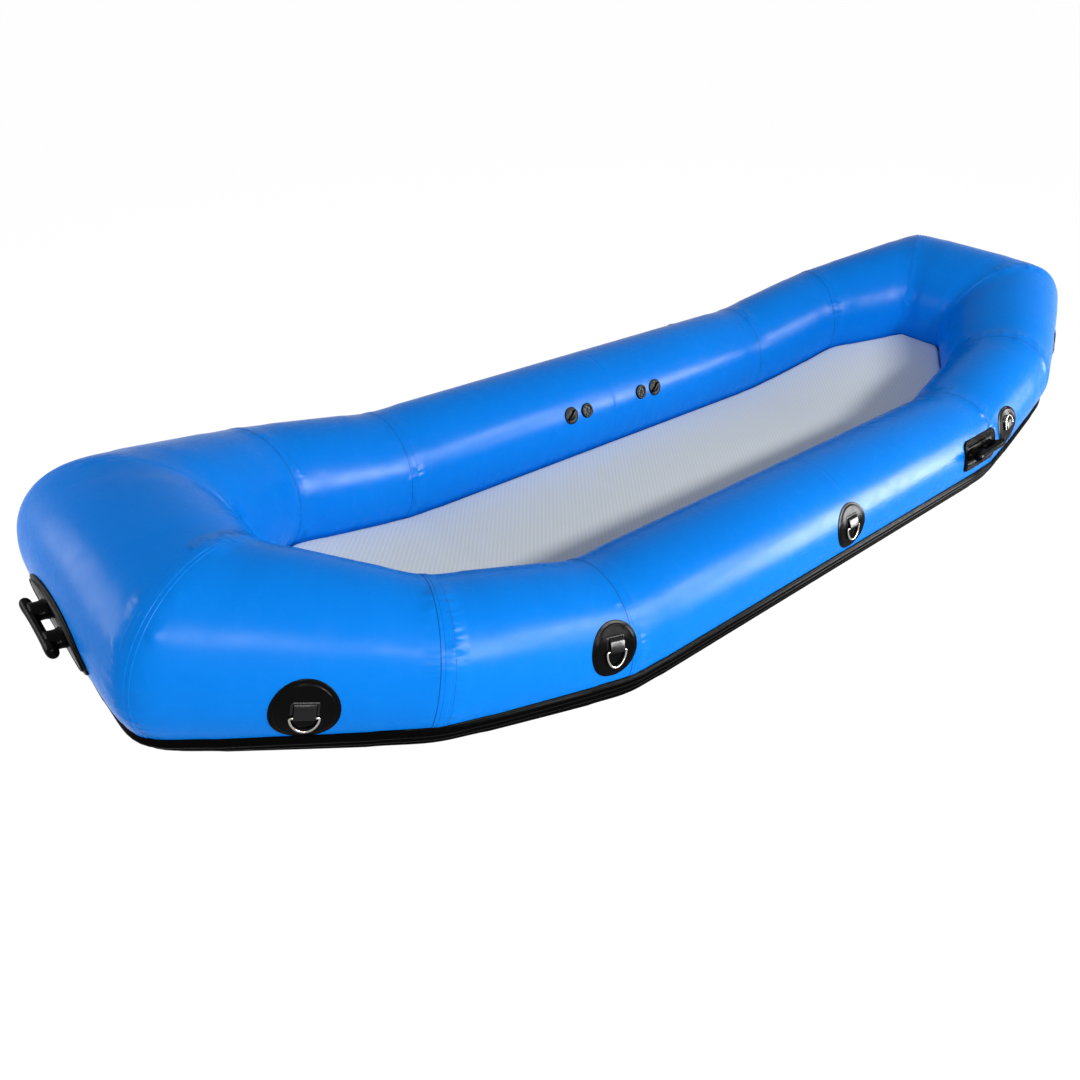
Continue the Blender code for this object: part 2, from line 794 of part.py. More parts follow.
def build_patch(name, seat):
    """A lashing point's base disc, its cover disc and the webbing loop bonded between them."""
    base_top = PATCH_CLEARANCE + PATCH_THICKNESS
    base_outline = circle_points(PATCH_RADIUS, PATCH_SIDES, HALF)
    base = wrapped_plate(seat, base_outline, PATCH_CLEARANCE, base_top)
    item = add_object(name, mesh_from(base, name), black_pvc(), seat.matrix)
    cover_low = base_top - PATCH_THICKNESS / 2
    cover = wrapped_plate(seat, circle_points(COVER_RADIUS, PATCH_SIDES, HALF), cover_low, patch_top())
    cover_name = name + "_cover"
    tool = add_object(cover_name, mesh_from(cover, cover_name), None, seat.matrix, CUTTERS)
    boolean(item, tool, "UNION")
    turn = Matrix(((0, 0, 1), (1, 0, 0), (0, 1, 0))).to_4x4()
    loop_name = name + "_loop"
    curve = flat_curve(loop_name, loop_outline(), WEBBING_HALF_WIDTH)
    loop = as_mesh(add_object(loop_name, curve, None, seat.matrix @ turn, CUTTERS))
    boolean(item, loop, "UNION")
    return item


def ring_outline():
    """Centre line of a D-shaped ring that hangs along local -Y from its bar."""
    straight = RING_DEPTH - RING_HALF_BAR
    points = [(-RING_HALF_BAR, 0), (0, 0), (RING_HALF_BAR, 0)]
    points += arc_points((0, -straight), RING_HALF_BAR, 0, -180, RING_ARC_STEPS)
    return points


def build_ring(name, seat, raised):
    """One steel ring, leaning on the tube, with its origin on the bar that it swings about."""
    flip = -1 if raised else 1
    points = [(x, y * flip, 0) for x, y in ring_outline()]
    curve = wire_curve(name, points, RING_WIRE_RADIUS, 1, closed=True)
    lean = Matrix.Rotation(math.radians(RING_LEAN * flip), 4, "X")
    place = seat.matrix @ Matrix.Translation((0, 0, ring_axis_height())) @ lean
    return add_object(name, curve, stainless(), place)


# Grab handles


def rounded_rectangle(half_length, half_width, corner):
    """Outline of a plate with round corners."""
    outline = []
    for quarter in range(4):
        sx = 1 if quarter in (0, 3) else -1
        sy = 1 if quarter in (0, 1) else -1
        centre = (sx * (half_length - corner), sy * (half_width - corner))
        outline += arc_points(centre, corner, 90 * quarter, 90 * quarter + 90, CORNER_STEPS)
    return outline


def leaf(half_length, half_width):
    """Outline of a long oval that comes to a blunt point at both ends."""
    outline = []
    for k in range(LEAF_SIDES):
        angle = math.tau * k / LEAF_SIDES
        taper = 1 - LEAF_TAPER * math.cos(angle) ** 4
        outline.append((half_length * math.cos(angle), half_width * math.sin(angle) * taper))
    return outline


def grip_points(foot):
    """Centre line of a grip bar between its feet, and the share of its radius at each point."""
    half = []
    for inward, height, swell in GRIP_STATIONS:
        half.append((GRIP_HALF_SPAN - inward * GRIP_RADIUS, foot + (GRIP_HEIGHT - foot) * height, swell))
    full = [(-x, z, swell) for x, z, swell in half] + [(0, GRIP_HEIGHT, 1)] + half[::-1]
    return [(x, 0, z) for x, z, swell in full], [swell for x, z, swell in full]


def build_handle(name, seat, outline_of, half_length, half_width):
    """A moulded handle: a stepped plate on the skin and a bar that stands off it."""
    plate_low = PATCH_CLEARANCE
    plate_top = plate_low + HANDLE_PLATE
    outline = outline_of(half_length, half_width)
    inner = outline_of(half_length - HANDLE_STEP_INSET, half_width - HANDLE_STEP_INSET)
    base = stepped_plate(seat, outline, inner, plate_low, plate_top, plate_top + HANDLE_STEP)
    item = add_object(name, mesh_from(base, name), black_rubber(), seat.matrix)
    bar_name = name + "_bar"
    points, radii = grip_points(plate_low + HANDLE_PLATE / 2)
    curve = wire_curve(bar_name, points, GRIP_RADIUS, 2, radii=radii)
    bar = as_mesh(add_object(bar_name, curve, None, seat.matrix, CUTTERS))
    boolean(item, bar, "UNION")
    return item


# Valves


def spider_outlines(bore, rim):
    """A disc with a hub hole and open windows, that guides a valve's stem."""
    outlines = [circle_points(rim, VALVE_SIDES), circle_points(STEM_RADIUS + STEM_CLEARANCE, HUB_SIDES)]
    step = 360 / SPIDER_ARMS
    half_arm = step / 2 * SPIDER_ARM_SHARE
    edge = bore - STEM_CLEARANCE
    for arm in range(SPIDER_ARMS):
        start = step * arm + half_arm
        end = step * (arm + 1) - half_arm
        window = arc_points((0, 0), edge, start, end, 3)
        window += arc_points((0, 0), HUB_RADIUS, end, start, 2)
        outlines.append(window)
    return outlines


def add_spider(item, bore, barrel, low, thickness, matrix):
    """Join the stem's guide across a valve's bore."""
    name = item.name + "_spider"
    curve = flat_curve(name, spider_outlines(bore, (bore + barrel) / 2), thickness / 2)
    place = matrix @ Matrix.Translation((0, 0, -low + thickness / 2))
    tool = as_mesh(add_object(name, curve, None, place, CUTTERS))
    boolean(item, tool, "UNION")


def nut_steps(barrel):
    """Corners of the ring nut that clamps a valve's barrel from inside the skin."""
    outer = barrel + NUT_WIDTH
    low = -NUT_DROP - NUT_THICKNESS
    return [(barrel, -NUT_DROP), (outer, -NUT_DROP), (outer, low), (barrel, low)]


def valve_body_profile():
    """Section of an inflation valve's body, from the flange down and back up the bore."""
    return [
        (VALVE_FLANGE_RADIUS, VALVE_FLANGE * (1 - FLANGE_CHAMFER)),
        (VALVE_FLANGE_RADIUS, SEAT_GAP),
        (VALVE_BARREL_RADIUS, SEAT_GAP),
        *nut_steps(VALVE_BARREL_RADIUS),
        (VALVE_BARREL_RADIUS, -VALVE_DEPTH),
        (VALVE_SEAT_RADIUS, -VALVE_DEPTH),
        (VALVE_SEAT_RADIUS, -VALVE_DEPTH + VALVE_SEAT),
        (VALVE_BORE_RADIUS, -VALVE_DEPTH + VALVE_SEAT),
        (VALVE_BORE_RADIUS, VALVE_FLANGE - VALVE_RECESS),
        (VALVE_RECESS_RADIUS, VALVE_FLANGE - VALVE_RECESS),
        (VALVE_RECESS_RADIUS, VALVE_FLANGE),
        (VALVE_FLANGE_RADIUS - VALVE_FLANGE * FLANGE_CHAMFER, VALVE_FLANGE),
    ]


def build_valve_body(name, matrix):
    """The fixed body of an inflation valve."""
    item = turned(name, valve_body_profile(), VALVE_SIDES, black_nylon(), matrix)
    add_spider(item, VALVE_BORE_RADIUS, VALVE_BARREL_RADIUS, VALVE_SPIDER_LOW, VALVE_SPIDER, matrix)
    return item


def button_top():
    """Height of the push button, just under the cap."""
    return VALVE_FLANGE - VALVE_RECESS - CAP_GAP


def build_valve_stem(name, matrix):
    """Push button, stem and sealing disc, which slide in as one."""
    top = button_top()
    disc_top = -VALVE_DEPTH - SEAT_GAP
    disc = VALVE_SEAT_RADIUS + DISC_OVERLAP
    profile = [
        (0, top),
        (BUTTON_RADIUS, top),
        (BUTTON_RADIUS, top - BUTTON_THICKNESS),
        (STEM_RADIUS, top - BUTTON_THICKNESS),
        (STEM_RADIUS, disc_top),
        (disc, disc_top),
        (disc, disc_top - DISC_THICKNESS),
        (0, disc_top - DISC_THICKNESS),
    ]
    return turned(name, profile, SMALL_SIDES, black_nylon(), matrix, closed=False)


def build_cap(name, matrix):
    """Quarter-turn cap with a bar to grip."""
    low = VALVE_FLANGE - VALVE_RECESS + SEAT_GAP
    top = low + CAP_PLATE
    radius = VALVE_RECESS_RADIUS - CAP_SIDE_GAP
    chamfer = CAP_PLATE / 4
    profile = [
        (0, top),
        (radius - chamfer, top),
        (radius, top - chamfer),
        (radius, low),
        (0, low),
    ]
    item = turned(name, profile, VALVE_SIDES, black_nylon(), matrix, closed=False)
    bm = bmesh.new()
    bmesh.ops.create_cube(bm, size=2)
    middle = top + CAP_BAR_HEIGHT / 2 - chamfer
    for vert in bm.verts:
        raised = vert.co.z > 0
        vert.co.x *= (radius - 2 * chamfer) * (CAP_BAR_TOP_LENGTH if raised else 1)
        vert.co.y *= CAP_BAR_HALF_WIDTH * (CAP_BAR_TOP_WIDTH if raised else 1)
        vert.co.z = vert.co.z * CAP_BAR_HEIGHT / 2 + middle
    bar_name = name + "_bar"
    tool = add_object(bar_name, mesh_from(bm, bar_name), None, matrix, CUTTERS)
    boolean(item, tool, "UNION")
    return item


def spring_points(low, high):
    """Centre line of a coil spring between two heights, with its least gap to itself."""
    wire = SPRING_WIRE_RADIUS
    start = low + wire + SEAT_GAP
    end = high - wire - SEAT_GAP
    count = SPRING_TURNS * SPRING_POINTS
    points = []
    for k in range(count + 1):
        angle = math.tau * k / SPRING_POINTS
        height = start + (end - start) * k / count
        points.append((SPRING_RADIUS * math.cos(angle), SPRING_RADIUS * math.sin(angle), height))
    gap = min(
        (Vector(points[k]) - Vector(points[k + SPRING_POINTS])).length - 2 * wire
        for k in range(count + 1 - SPRING_POINTS)
    )
    return points, gap


def build_spring(name, low, high, matrix):
    """One coil spring round a valve's stem."""
    points, gap = spring_points(low, high)
    print(name, "least gap between turns, mm:", round(gap * 1000, 2))
    curve = wire_curve(name, points, SPRING_WIRE_RADIUS, 0)
    return add_object(name, curve, stainless(), matrix)


def relief_body_profile():
    """Section of a relief valve's body, with its seat just under the flange."""
    seat_top = -RELIEF_SEAT_DEPTH
    seat_low = seat_top - RELIEF_SEAT
    return [
        (RELIEF_FLANGE_RADIUS, RELIEF_FLANGE * (1 - FLANGE_CHAMFER)),
        (RELIEF_FLANGE_RADIUS, SEAT_GAP),
        (RELIEF_BARREL_RADIUS, SEAT_GAP),
        *nut_steps(RELIEF_BARREL_RADIUS),
        (RELIEF_BARREL_RADIUS, -RELIEF_DEPTH),
        (RELIEF_BORE_RADIUS, -RELIEF_DEPTH),
        (RELIEF_BORE_RADIUS, seat_low),
        (RELIEF_SEAT_RADIUS, seat_low),
        (RELIEF_SEAT_RADIUS, seat_top),
        (RELIEF_BORE_RADIUS, seat_top),
        (RELIEF_BORE_RADIUS, RELIEF_FLANGE),
        (RELIEF_FLANGE_RADIUS - RELIEF_FLANGE * FLANGE_CHAMFER, RELIEF_FLANGE),
    ]


def grille_outlines():
    """The star of slots in a relief valve's cover."""
    rim = (RELIEF_BORE_RADIUS + RELIEF_BARREL_RADIUS) / 2
    outlines = [circle_points(rim, VALVE_SIDES)]
    inner = STEM_RADIUS
    outer = RELIEF_BORE_RADIUS - 2 * STEM_CLEARANCE
    step = 360 / RELIEF_SLOTS
    for slot in range(RELIEF_SLOTS):
        middle = step * slot
        window = arc_points((0, 0), outer, middle - step / 4, middle + step / 4, 1)
        window += arc_points((0, 0), inner, middle + step / 4, middle - step / 4, 1)
        outlines.append(window)
    return outlines


def build_relief_body(name, matrix):
    """The fixed body and grille of a pressure relief valve."""
    item = turned(name, relief_body_profile(), VALVE_SIDES, black_nylon(), matrix)
    add_spider(item, RELIEF_BORE_RADIUS, RELIEF_BARREL_RADIUS, RELIEF_SPIDER_LOW, RELIEF_SPIDER, matrix)
    grille_name = name + "_grille"
    curve = flat_curve(grille_name, grille_outlines(), RELIEF_GRILLE / 2)
    height = RELIEF_FLANGE - RELIEF_GRILLE
    place = matrix @ Matrix.Translation((0, 0, height))
    tool = as_mesh(add_object(grille_name, curve, None, place, CUTTERS))
    boolean(item, tool, "UNION")
    return item


def relief_button_low():
    """Height of the inner end of a relief valve's stem."""
    return -RELIEF_DEPTH + STEM_CLEARANCE


def build_relief_poppet(name, matrix):
    """Sealing disc, stem and spring button, which lift outwards as one."""
    disc_low = -RELIEF_SEAT_DEPTH + SEAT_GAP
    disc = RELIEF_SEAT_RADIUS + DISC_OVERLAP
    low = relief_button_low()
    profile = [
        (0, disc_low + DISC_THICKNESS),
        (disc, disc_low + DISC_THICKNESS),
        (disc, disc_low),
        (STEM_RADIUS, disc_low),
        (STEM_RADIUS, low + BUTTON_THICKNESS),
        (BUTTON_RADIUS, low + BUTTON_THICKNESS),
        (BUTTON_RADIUS, low),
        (0, low),
    ]
    return turned(name, profile, SMALL_SIDES, black_nylon(), matrix, closed=False)


def cut_hole(item, name, radius, matrix):
    """Cut a valve's hole through a panel's wall."""
    plug = [(0, CUT_OVERRUN), (radius, CUT_OVERRUN), (radius, -CUT_OVERRUN), (0, -CUT_OVERRUN)]
    tool = turned(name, plug, VALVE_SIDES, None, matrix, CUTTERS, closed=False)
    boolean(item, tool, "DIFFERENCE")


def build_inflation_valve(name, matrix):
    """One inflation valve: body, cap, stem and spring."""
    build_valve_body(name + "_body", matrix)
    build_cap(name + "_cap", matrix)
    build_valve_stem(name + "_stem", matrix)
    spider_top = -VALVE_SPIDER_LOW + VALVE_SPIDER
    build_spring(name + "_spring", spider_top, button_top() - BUTTON_THICKNESS, matrix)


def build_relief_valve(name, matrix):
    """One pressure relief valve: body, poppet and spring."""
    build_relief_body(name + "_body", matrix)
    build_relief_poppet(name + "_poppet", matrix)
    button = relief_button_low() + BUTTON_THICKNESS
    build_spring(name + "_spring", button, -RELIEF_SPIDER_LOW, matrix)


def valve_seat(x):
    """Place of a valve on the inner face of the starboard tube."""
    middle = panel_length(STARBOARD_MID) / 2
    return Seat(STARBOARD_MID, middle - x, VALVE_ANGLE).matrix


def build_hull():
    """The twelve tubes, their baffles, the floor and the trim."""
    tubes = [build_tube(panel) for panel in range(len(SEAMS))]
    build_baffle("port_baffle", PORT_MID)
    build_baffle("starboard_baffle", STARBOARD_MID)
    build_floor()
    build_strake()
    build_wear_skin("port_wear_skin", BOW - len(SEAMS), -1)
    build_wear_skin("starboard_wear_skin", STERN, 1)
    return tubes


def build_lashing_points():
    """The ten steel rings with their patches."""
    for name, seat, raised in ring_seats():
        build_patch(name + "_patch", seat)
        build_ring(name + "_ring", seat, raised)


def build_handles():
    """A handle on each side towards the stern, and one on each end."""
    middle = panel_length(PORT_MID) / 2

    def side_outline(half_length, half_width):
        return rounded_rectangle(half_length, half_width, HANDLE_PLATE_CORNER)

    sides = (
        ("port_handle", Seat(PORT_MID, middle + HANDLE_X, HANDLE_ANGLE)),
        ("starboard_handle", Seat(STARBOARD_MID, middle - HANDLE_X, HANDLE_ANGLE)),
    )
    for name, seat in sides:
        build_handle(name, seat, side_outline, HANDLE_PLATE_HALF_LENGTH, HANDLE_PLATE_HALF_WIDTH)
    for name, panel in (("bow_handle", BOW), ("stern_handle", STERN)):
        seat = Seat(panel, panel_length(panel) / 2, END_HANDLE_ANGLE)
        build_handle(name, seat, leaf, LEAF_HALF_LENGTH, LEAF_HALF_WIDTH)


def build_valves(starboard_tube):
    """The four valves of the starboard tube and the floor's own valve."""
    for end, sign in (("bow", -1), ("stern", 1)):
        matrix = valve_seat(sign * VALVE_X)
        radius = VALVE_BARREL_RADIUS + BARREL_CLEARANCE
        cut_hole(starboard_tube, end + "_valve_hole", radius, matrix)
        build_inflation_valve(end + "_valve", matrix)
        matrix = valve_seat(sign * RELIEF_X)
        radius = RELIEF_BARREL_RADIUS + BARREL_CLEARANCE
        cut_hole(starboard_tube, end + "_relief_hole", radius, matrix)
        build_relief_valve(end + "_relief", matrix)
    build_inflation_valve("floor_valve", floor_seat())


def main():
    """Build the raft."""
    clear_scene()
    tubes = build_hull()
    build_lashing_points()
    build_handles()
    build_valves(tubes[STARBOARD_MID])


main()
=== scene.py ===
"""Dresses the whitewater raft: coated-fabric tubes, ribbed strake, floor, fittings and studio."""
from __future__ import annotations

import logging
import math
from collections.abc import Callable, Sequence
from dataclasses import dataclass, field
from enum import Enum
from typing import ClassVar

import bmesh
import bpy
from mathutils import Matrix, Vector


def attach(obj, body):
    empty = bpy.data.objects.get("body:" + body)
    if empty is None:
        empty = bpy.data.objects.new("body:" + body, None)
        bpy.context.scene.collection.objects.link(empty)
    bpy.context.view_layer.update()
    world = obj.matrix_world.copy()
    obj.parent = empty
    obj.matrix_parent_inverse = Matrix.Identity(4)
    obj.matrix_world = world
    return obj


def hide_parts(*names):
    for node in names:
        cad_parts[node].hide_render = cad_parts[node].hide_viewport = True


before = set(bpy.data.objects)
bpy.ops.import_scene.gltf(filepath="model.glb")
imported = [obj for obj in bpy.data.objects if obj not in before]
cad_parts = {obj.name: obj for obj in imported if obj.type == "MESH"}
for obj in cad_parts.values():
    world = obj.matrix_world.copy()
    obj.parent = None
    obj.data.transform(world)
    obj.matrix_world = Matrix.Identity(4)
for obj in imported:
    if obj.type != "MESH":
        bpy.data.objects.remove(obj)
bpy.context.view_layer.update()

log = logging.getLogger("raft")
HULL = "hull"
UP = Vector((0.0, 0.0, 1.0))
# Points nearer than this are welded, and edges sharper than this are rounded
WELD = 0.00001
SHARP_ANGLE = math.radians(35.0)

Outline = list[tuple[float, float]]


def linear(code: str) -> tuple[float, float, float, float]:
    """Turn an sRGB hex code into a linear colour.

    Args:
        code: six hex digits, such as "1E88F0".

    Returns:
        Red, green, blue and an alpha of one.
    """
    parts = [int(code[k:k + 2], 16) / 255 for k in (0, 2, 4)]
    red, green, blue = (c / 12.92 if c <= 0.04045 else ((c + 0.055) / 1.055) ** 2.4 for c in parts)
    return red, green, blue, 1.0


def add_node(tree: bpy.types.NodeTree, kind: str, links: dict | None = None, **settings: object) -> bpy.types.Node:
    """Add a shader node with its settings and incoming links.

    Args:
        tree: the material's node tree.
        kind: the node's type name.
        links: input name or number, to a value or to another node's output.
        settings: properties of the node.

    Returns:
        The new node.
    """
    node = tree.nodes.new(kind)
    for name, value in settings.items():
        setattr(node, name, value)
    for name, value in (links or {}).items():
        if isinstance(value, bpy.types.NodeSocket):
            tree.links.new(value, node.inputs[name])
        else:
            node.inputs[name].default_value = value
    return node


def combined(tree: bpy.types.NodeTree, first: object, second: object,
             operation: str = "MULTIPLY") -> bpy.types.NodeSocket:
    """Combine two numbers, each a value or another node's output."""
    return add_node(tree, "ShaderNodeMath", {0: first, 1: second}, operation=operation).outputs[0]


@dataclass(frozen=True)
class Look:
    """A finished material and the record's material slot that it belongs to."""

    material: bpy.types.Material
    slot: str


def new_piece(name: str, bm: bmesh.types.BMesh, looks: Sequence[Look], crease: float, body: str = HULL,
              replaces: str | None = None, place: Matrix | None = None) -> None:
    """Turn a finished bmesh into a piece that rides on a body.

    Args:
        name: the piece's name.
        bm: its shape, which is freed.
        looks: its looks, in the order that its faces count them.
        crease: the angle in degrees above which an edge stays sharp.
        body: the body that it moves with.
        replaces: the CAD node that it stands for.
        place: takes the shape to its place, where it isn't there yet.
    """
    if place is not None:
        bmesh.ops.transform(bm, matrix=place, verts=bm.verts)
    bmesh.ops.recalc_face_normals(bm, faces=bm.faces)
    mesh = bpy.data.meshes.new(name)
    bm.to_mesh(mesh)
    bm.free()
    mesh.shade_smooth()
    mesh.set_sharp_from_angle(angle=math.radians(crease))
    for look in looks:
        mesh.materials.append(look.material)
    piece = bpy.data.objects.new(name, mesh)
    bpy.context.scene.collection.objects.link(piece)
    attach(piece, body)
    if replaces:
        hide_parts(replaces)
    log.info("%s: %d faces", name, len(mesh.polygons))


# Finishes

@dataclass(frozen=True)
class Finish:
    """What every finish shares: its slot, colours and gloss.

    A low specular level with a tint above one keeps the gloss of a surface seen squarely and
    leaves out the white veil that the studio's white surroundings lay on it at a slant.
    """

    name: str
    slot: str
    colour: str
    roughness: float
    metallic: float = 0.0
    specular: float = 0.02
    sheen: float = 3.0
    noise_middle: ClassVar[tuple[float, float]] = (0.3, 0.7)
    grains_per_metre: ClassVar[float] = 900.0
    grain_depth: ClassVar[float] = 0.00002
    patches_per_metre: ClassVar[float] = 60.0
    duller: ClassVar[float] = 0.07
    glossier: ClassVar[float] = 0.05

    def start(self) -> tuple[bpy.types.Material, bpy.types.NodeTree, bpy.types.Node]:
        """Make the material and set the values that are the same all over."""
        material = bpy.data.materials.new(self.name)
        material.use_nodes = True
        tree = material.node_tree
        shader = tree.nodes["Principled BSDF"]
        shader.inputs["Base Color"].default_value = linear(self.colour)
        shader.inputs["Roughness"].default_value = self.roughness
        shader.inputs["Metallic"].default_value = self.metallic
        shader.inputs["Specular IOR Level"].default_value = self.specular
        shader.inputs["Specular Tint"].default_value = (self.sheen, self.sheen, self.sheen, 1.0)
        return material, tree, shader

    def speckle(self, tree: bpy.types.NodeTree, scale: float, detail: float = 3.0) -> bpy.types.NodeSocket:
        """Noise on object coordinates, with this many features to the metre."""
        place = add_node(tree, "ShaderNodeTexCoord")
        noise = add_node(tree, "ShaderNodeTexNoise",
                         {"Vector": place.outputs["Object"], "Scale": scale, "Detail": detail})
        return noise.outputs["Fac"]

    def bump(self, tree: bpy.types.NodeTree, height: bpy.types.NodeSocket, distance: float,
             under: bpy.types.NodeSocket | None = None) -> bpy.types.NodeSocket:
        """Bump of a height between 0 and 1, this many metres deep, over another bump."""
        links = {"Height": height, "Distance": distance, "Strength": 1.0}
        if under is not None:
            links["Normal"] = under
        return add_node(tree, "ShaderNodeBump", links).outputs["Normal"]

    def spread(self, tree: bpy.types.NodeTree, value: bpy.types.NodeSocket,
               start: tuple[float, float], end: tuple[float, float]) -> bpy.types.NodeSocket:
        """Map a range of a value smoothly on another range."""
        node = add_node(tree, "ShaderNodeMapRange",
                        {"Value": value, "From Min": start[0], "From Max": start[1],
                         "To Min": end[0], "To Max": end[1]}, interpolation_type="SMOOTHSTEP")
        return node.outputs["Result"]

    def blend_colours(self, tree: bpy.types.NodeTree, share: bpy.types.NodeSocket,
                      first: object, second: object) -> bpy.types.NodeSocket:
        """Mix two colours, each a hex code or another node's output."""
        first, second = (linear(c) if isinstance(c, str) else c for c in (first, second))
        node = add_node(tree, "ShaderNodeMix", {0: share, 6: first, 7: second}, data_type="RGBA")
        return node.outputs[2]

    def plain(self) -> Look:
        """A moulded or cast surface: faint grain and small changes of gloss."""
        material, tree, shader = self.start()
        grain = self.speckle(tree, self.grains_per_metre)
        tree.links.new(self.bump(tree, grain, self.grain_depth), shader.inputs["Normal"])
        patchy = self.speckle(tree, self.patches_per_metre)
        gloss = (self.roughness - self.glossier, self.roughness + self.duller)
        tree.links.new(self.spread(tree, patchy, self.noise_middle, gloss), shader.inputs["Roughness"])
        return Look(material, self.slot)


@dataclass(frozen=True)
class CoatedFabric(Finish):
    """Calendered PVC on polyester: a satin skin that shows its cloth faintly and puckers at seams."""

    shade: str = "037BE2"
    pucker: float = 0.0088
    swell: float = 0.0030
    patches_per_metre: ClassVar[float] = 25.0
    duller: ClassVar[float] = 0.04
    glossier: ClassVar[float] = 0.03
    swells_per_metre: ClassVar[float] = 4.0
    puckers_per_metre: ClassVar[tuple[float, float, float]] = (48.0, 14.0, 1.0)
    pucker_reach: ClassVar[tuple[float, float]] = (0.008, 0.048)
    pucker_groups_per_metre: ClassVar[float] = 9.0
    crease_half_width: ClassVar[float] = 0.007
    crease_depth: ClassVar[float] = 0.0010
    threads_per_metre: ClassVar[float] = 450.0
    tones_per_metre: ClassVar[float] = 3.0

    def build(self) -> Look:
        """Make the tube fabric. The attributes are metres from a seam and from a crease."""
        material, tree, shader = self.start()
        skin = add_node(tree, "ShaderNodeUVMap", uv_map="skin").outputs["UV"]
        seam, crease = (add_node(tree, "ShaderNodeAttribute", attribute_name=name).outputs["Fac"]
                        for name in ("seam", "crease"))
        # Slow swells of the inflated skin, about 250 mm apart
        normal = self.bump(tree, self.speckle(tree, self.swells_per_metre, 1.0), self.swell)
        # Puckers that run along the tube from each seam, about 20 mm apart, in irregular groups
        long_way = add_node(tree, "ShaderNodeMapping", {"Vector": skin, "Scale": self.puckers_per_metre}).outputs[0]
        ripples = add_node(tree, "ShaderNodeTexNoise",
                           {"Vector": long_way, "Scale": 1.0, "Detail": 1.0}).outputs["Fac"]
        groups = self.speckle(tree, self.pucker_groups_per_metre, 1.0)
        near = combined(tree, self.spread(tree, seam, self.pucker_reach, (1.0, 0.0)),
                        self.spread(tree, groups, (0.45, 0.62), (0.15, 1.0)))
        normal = self.bump(tree, combined(tree, ripples, near), self.pucker, normal)
        # The faint line across the middle of a panel, as an inner wall bonded there leaves it
        line = self.spread(tree, crease, (0.0, self.crease_half_width), (0.0, 1.0))
        normal = self.bump(tree, line, self.crease_depth, normal)
        # Cloth under the coating, drawn at 2.2 mm where the real threads are about 1 mm apart
        weave = add_node(tree, "ShaderNodeMapping",
                         {"Vector": skin, "Scale": (self.threads_per_metre, self.threads_per_metre, 1.0)}).outputs[0]
        threads = add_node(tree, "ShaderNodeTexChecker", {"Vector": weave, "Scale": 1.0}).outputs["Fac"]
        normal = self.bump(tree, threads, self.grain_depth, normal)
        tree.links.new(normal, shader.inputs["Normal"])
        tone = self.blend_colours(tree, self.speckle(tree, self.tones_per_metre, 2.0), self.colour, self.shade)
        tree.links.new(tone, shader.inputs["Base Color"])
        gloss = self.spread(tree, self.speckle(tree, self.patches_per_metre), self.noise_middle,
                            (self.roughness - self.glossier, self.roughness + self.duller))
        tree.links.new(gloss, shader.inputs["Roughness"])
        return Look(material, self.slot)


@dataclass(frozen=True)
class FloorFabric(Finish):
    """Coated drop-stitch cloth: a matt pale grey with fine slanting ribs that give grip."""

    shade: str = "EEF3F0"
    rib_tone: str = "CCCECC"
    rib_tone_share: float = 0.22
    rib_angle: float = 40.0
    rib_depth: float = 0.0003
    # Drawn about twice as coarse as the real ribs, which are too fine to show
    rib_spacing: float = 0.0124
    # Length of one wave at a scale of one, as the wave texture has it
    wave_length: ClassVar[float] = 0.314
    tones_per_metre: ClassVar[float] = 2.0

    def build(self) -> Look:
        """Make the floor's cloth: its ribs, and patches that vary its tone."""
        material, tree, shader = self.start()
        place = add_node(tree, "ShaderNodeTexCoord").outputs["Object"]
        turned_place = add_node(tree, "ShaderNodeMapping",
                                {"Vector": place, "Rotation": (0, 0, math.radians(self.rib_angle))}).outputs[0]
        ribs = add_node(tree, "ShaderNodeTexWave",
                        {"Vector": turned_place, "Scale": self.wave_length / self.rib_spacing,
                         "Distortion": 0.6, "Detail": 1.0}, bands_direction="X").outputs["Fac"]
        tree.links.new(self.bump(tree, ribs, self.rib_depth), shader.inputs["Normal"])
        tone = self.blend_colours(tree, self.speckle(tree, self.tones_per_metre), self.colour, self.shade)
        ribbed = self.blend_colours(tree, combined(tree, ribs, self.rib_tone_share), tone, self.rib_tone)
        tree.links.new(ribbed, shader.inputs["Base Color"])
        return Look(material, self.slot)


@dataclass(frozen=True)
class Webbing(Finish):
    """Woven tape under a black coating, whose threads show as small bumps."""

    threads_per_metre: ClassVar[float] = 800.0
    thread_depth: ClassVar[float] = 0.0001

    def build(self) -> Look:
        """Make the tape, its threads a little coarser than the real ones."""
        material, tree, shader = self.start()
        place = add_node(tree, "ShaderNodeTexCoord").outputs["Object"]
        cells = add_node(tree, "ShaderNodeTexVoronoi",
                         {"Vector": place, "Scale": self.threads_per_metre}).outputs["Distance"]
        tree.links.new(self.bump(tree, cells, self.thread_depth), shader.inputs["Normal"])
        return Look(material, self.slot)


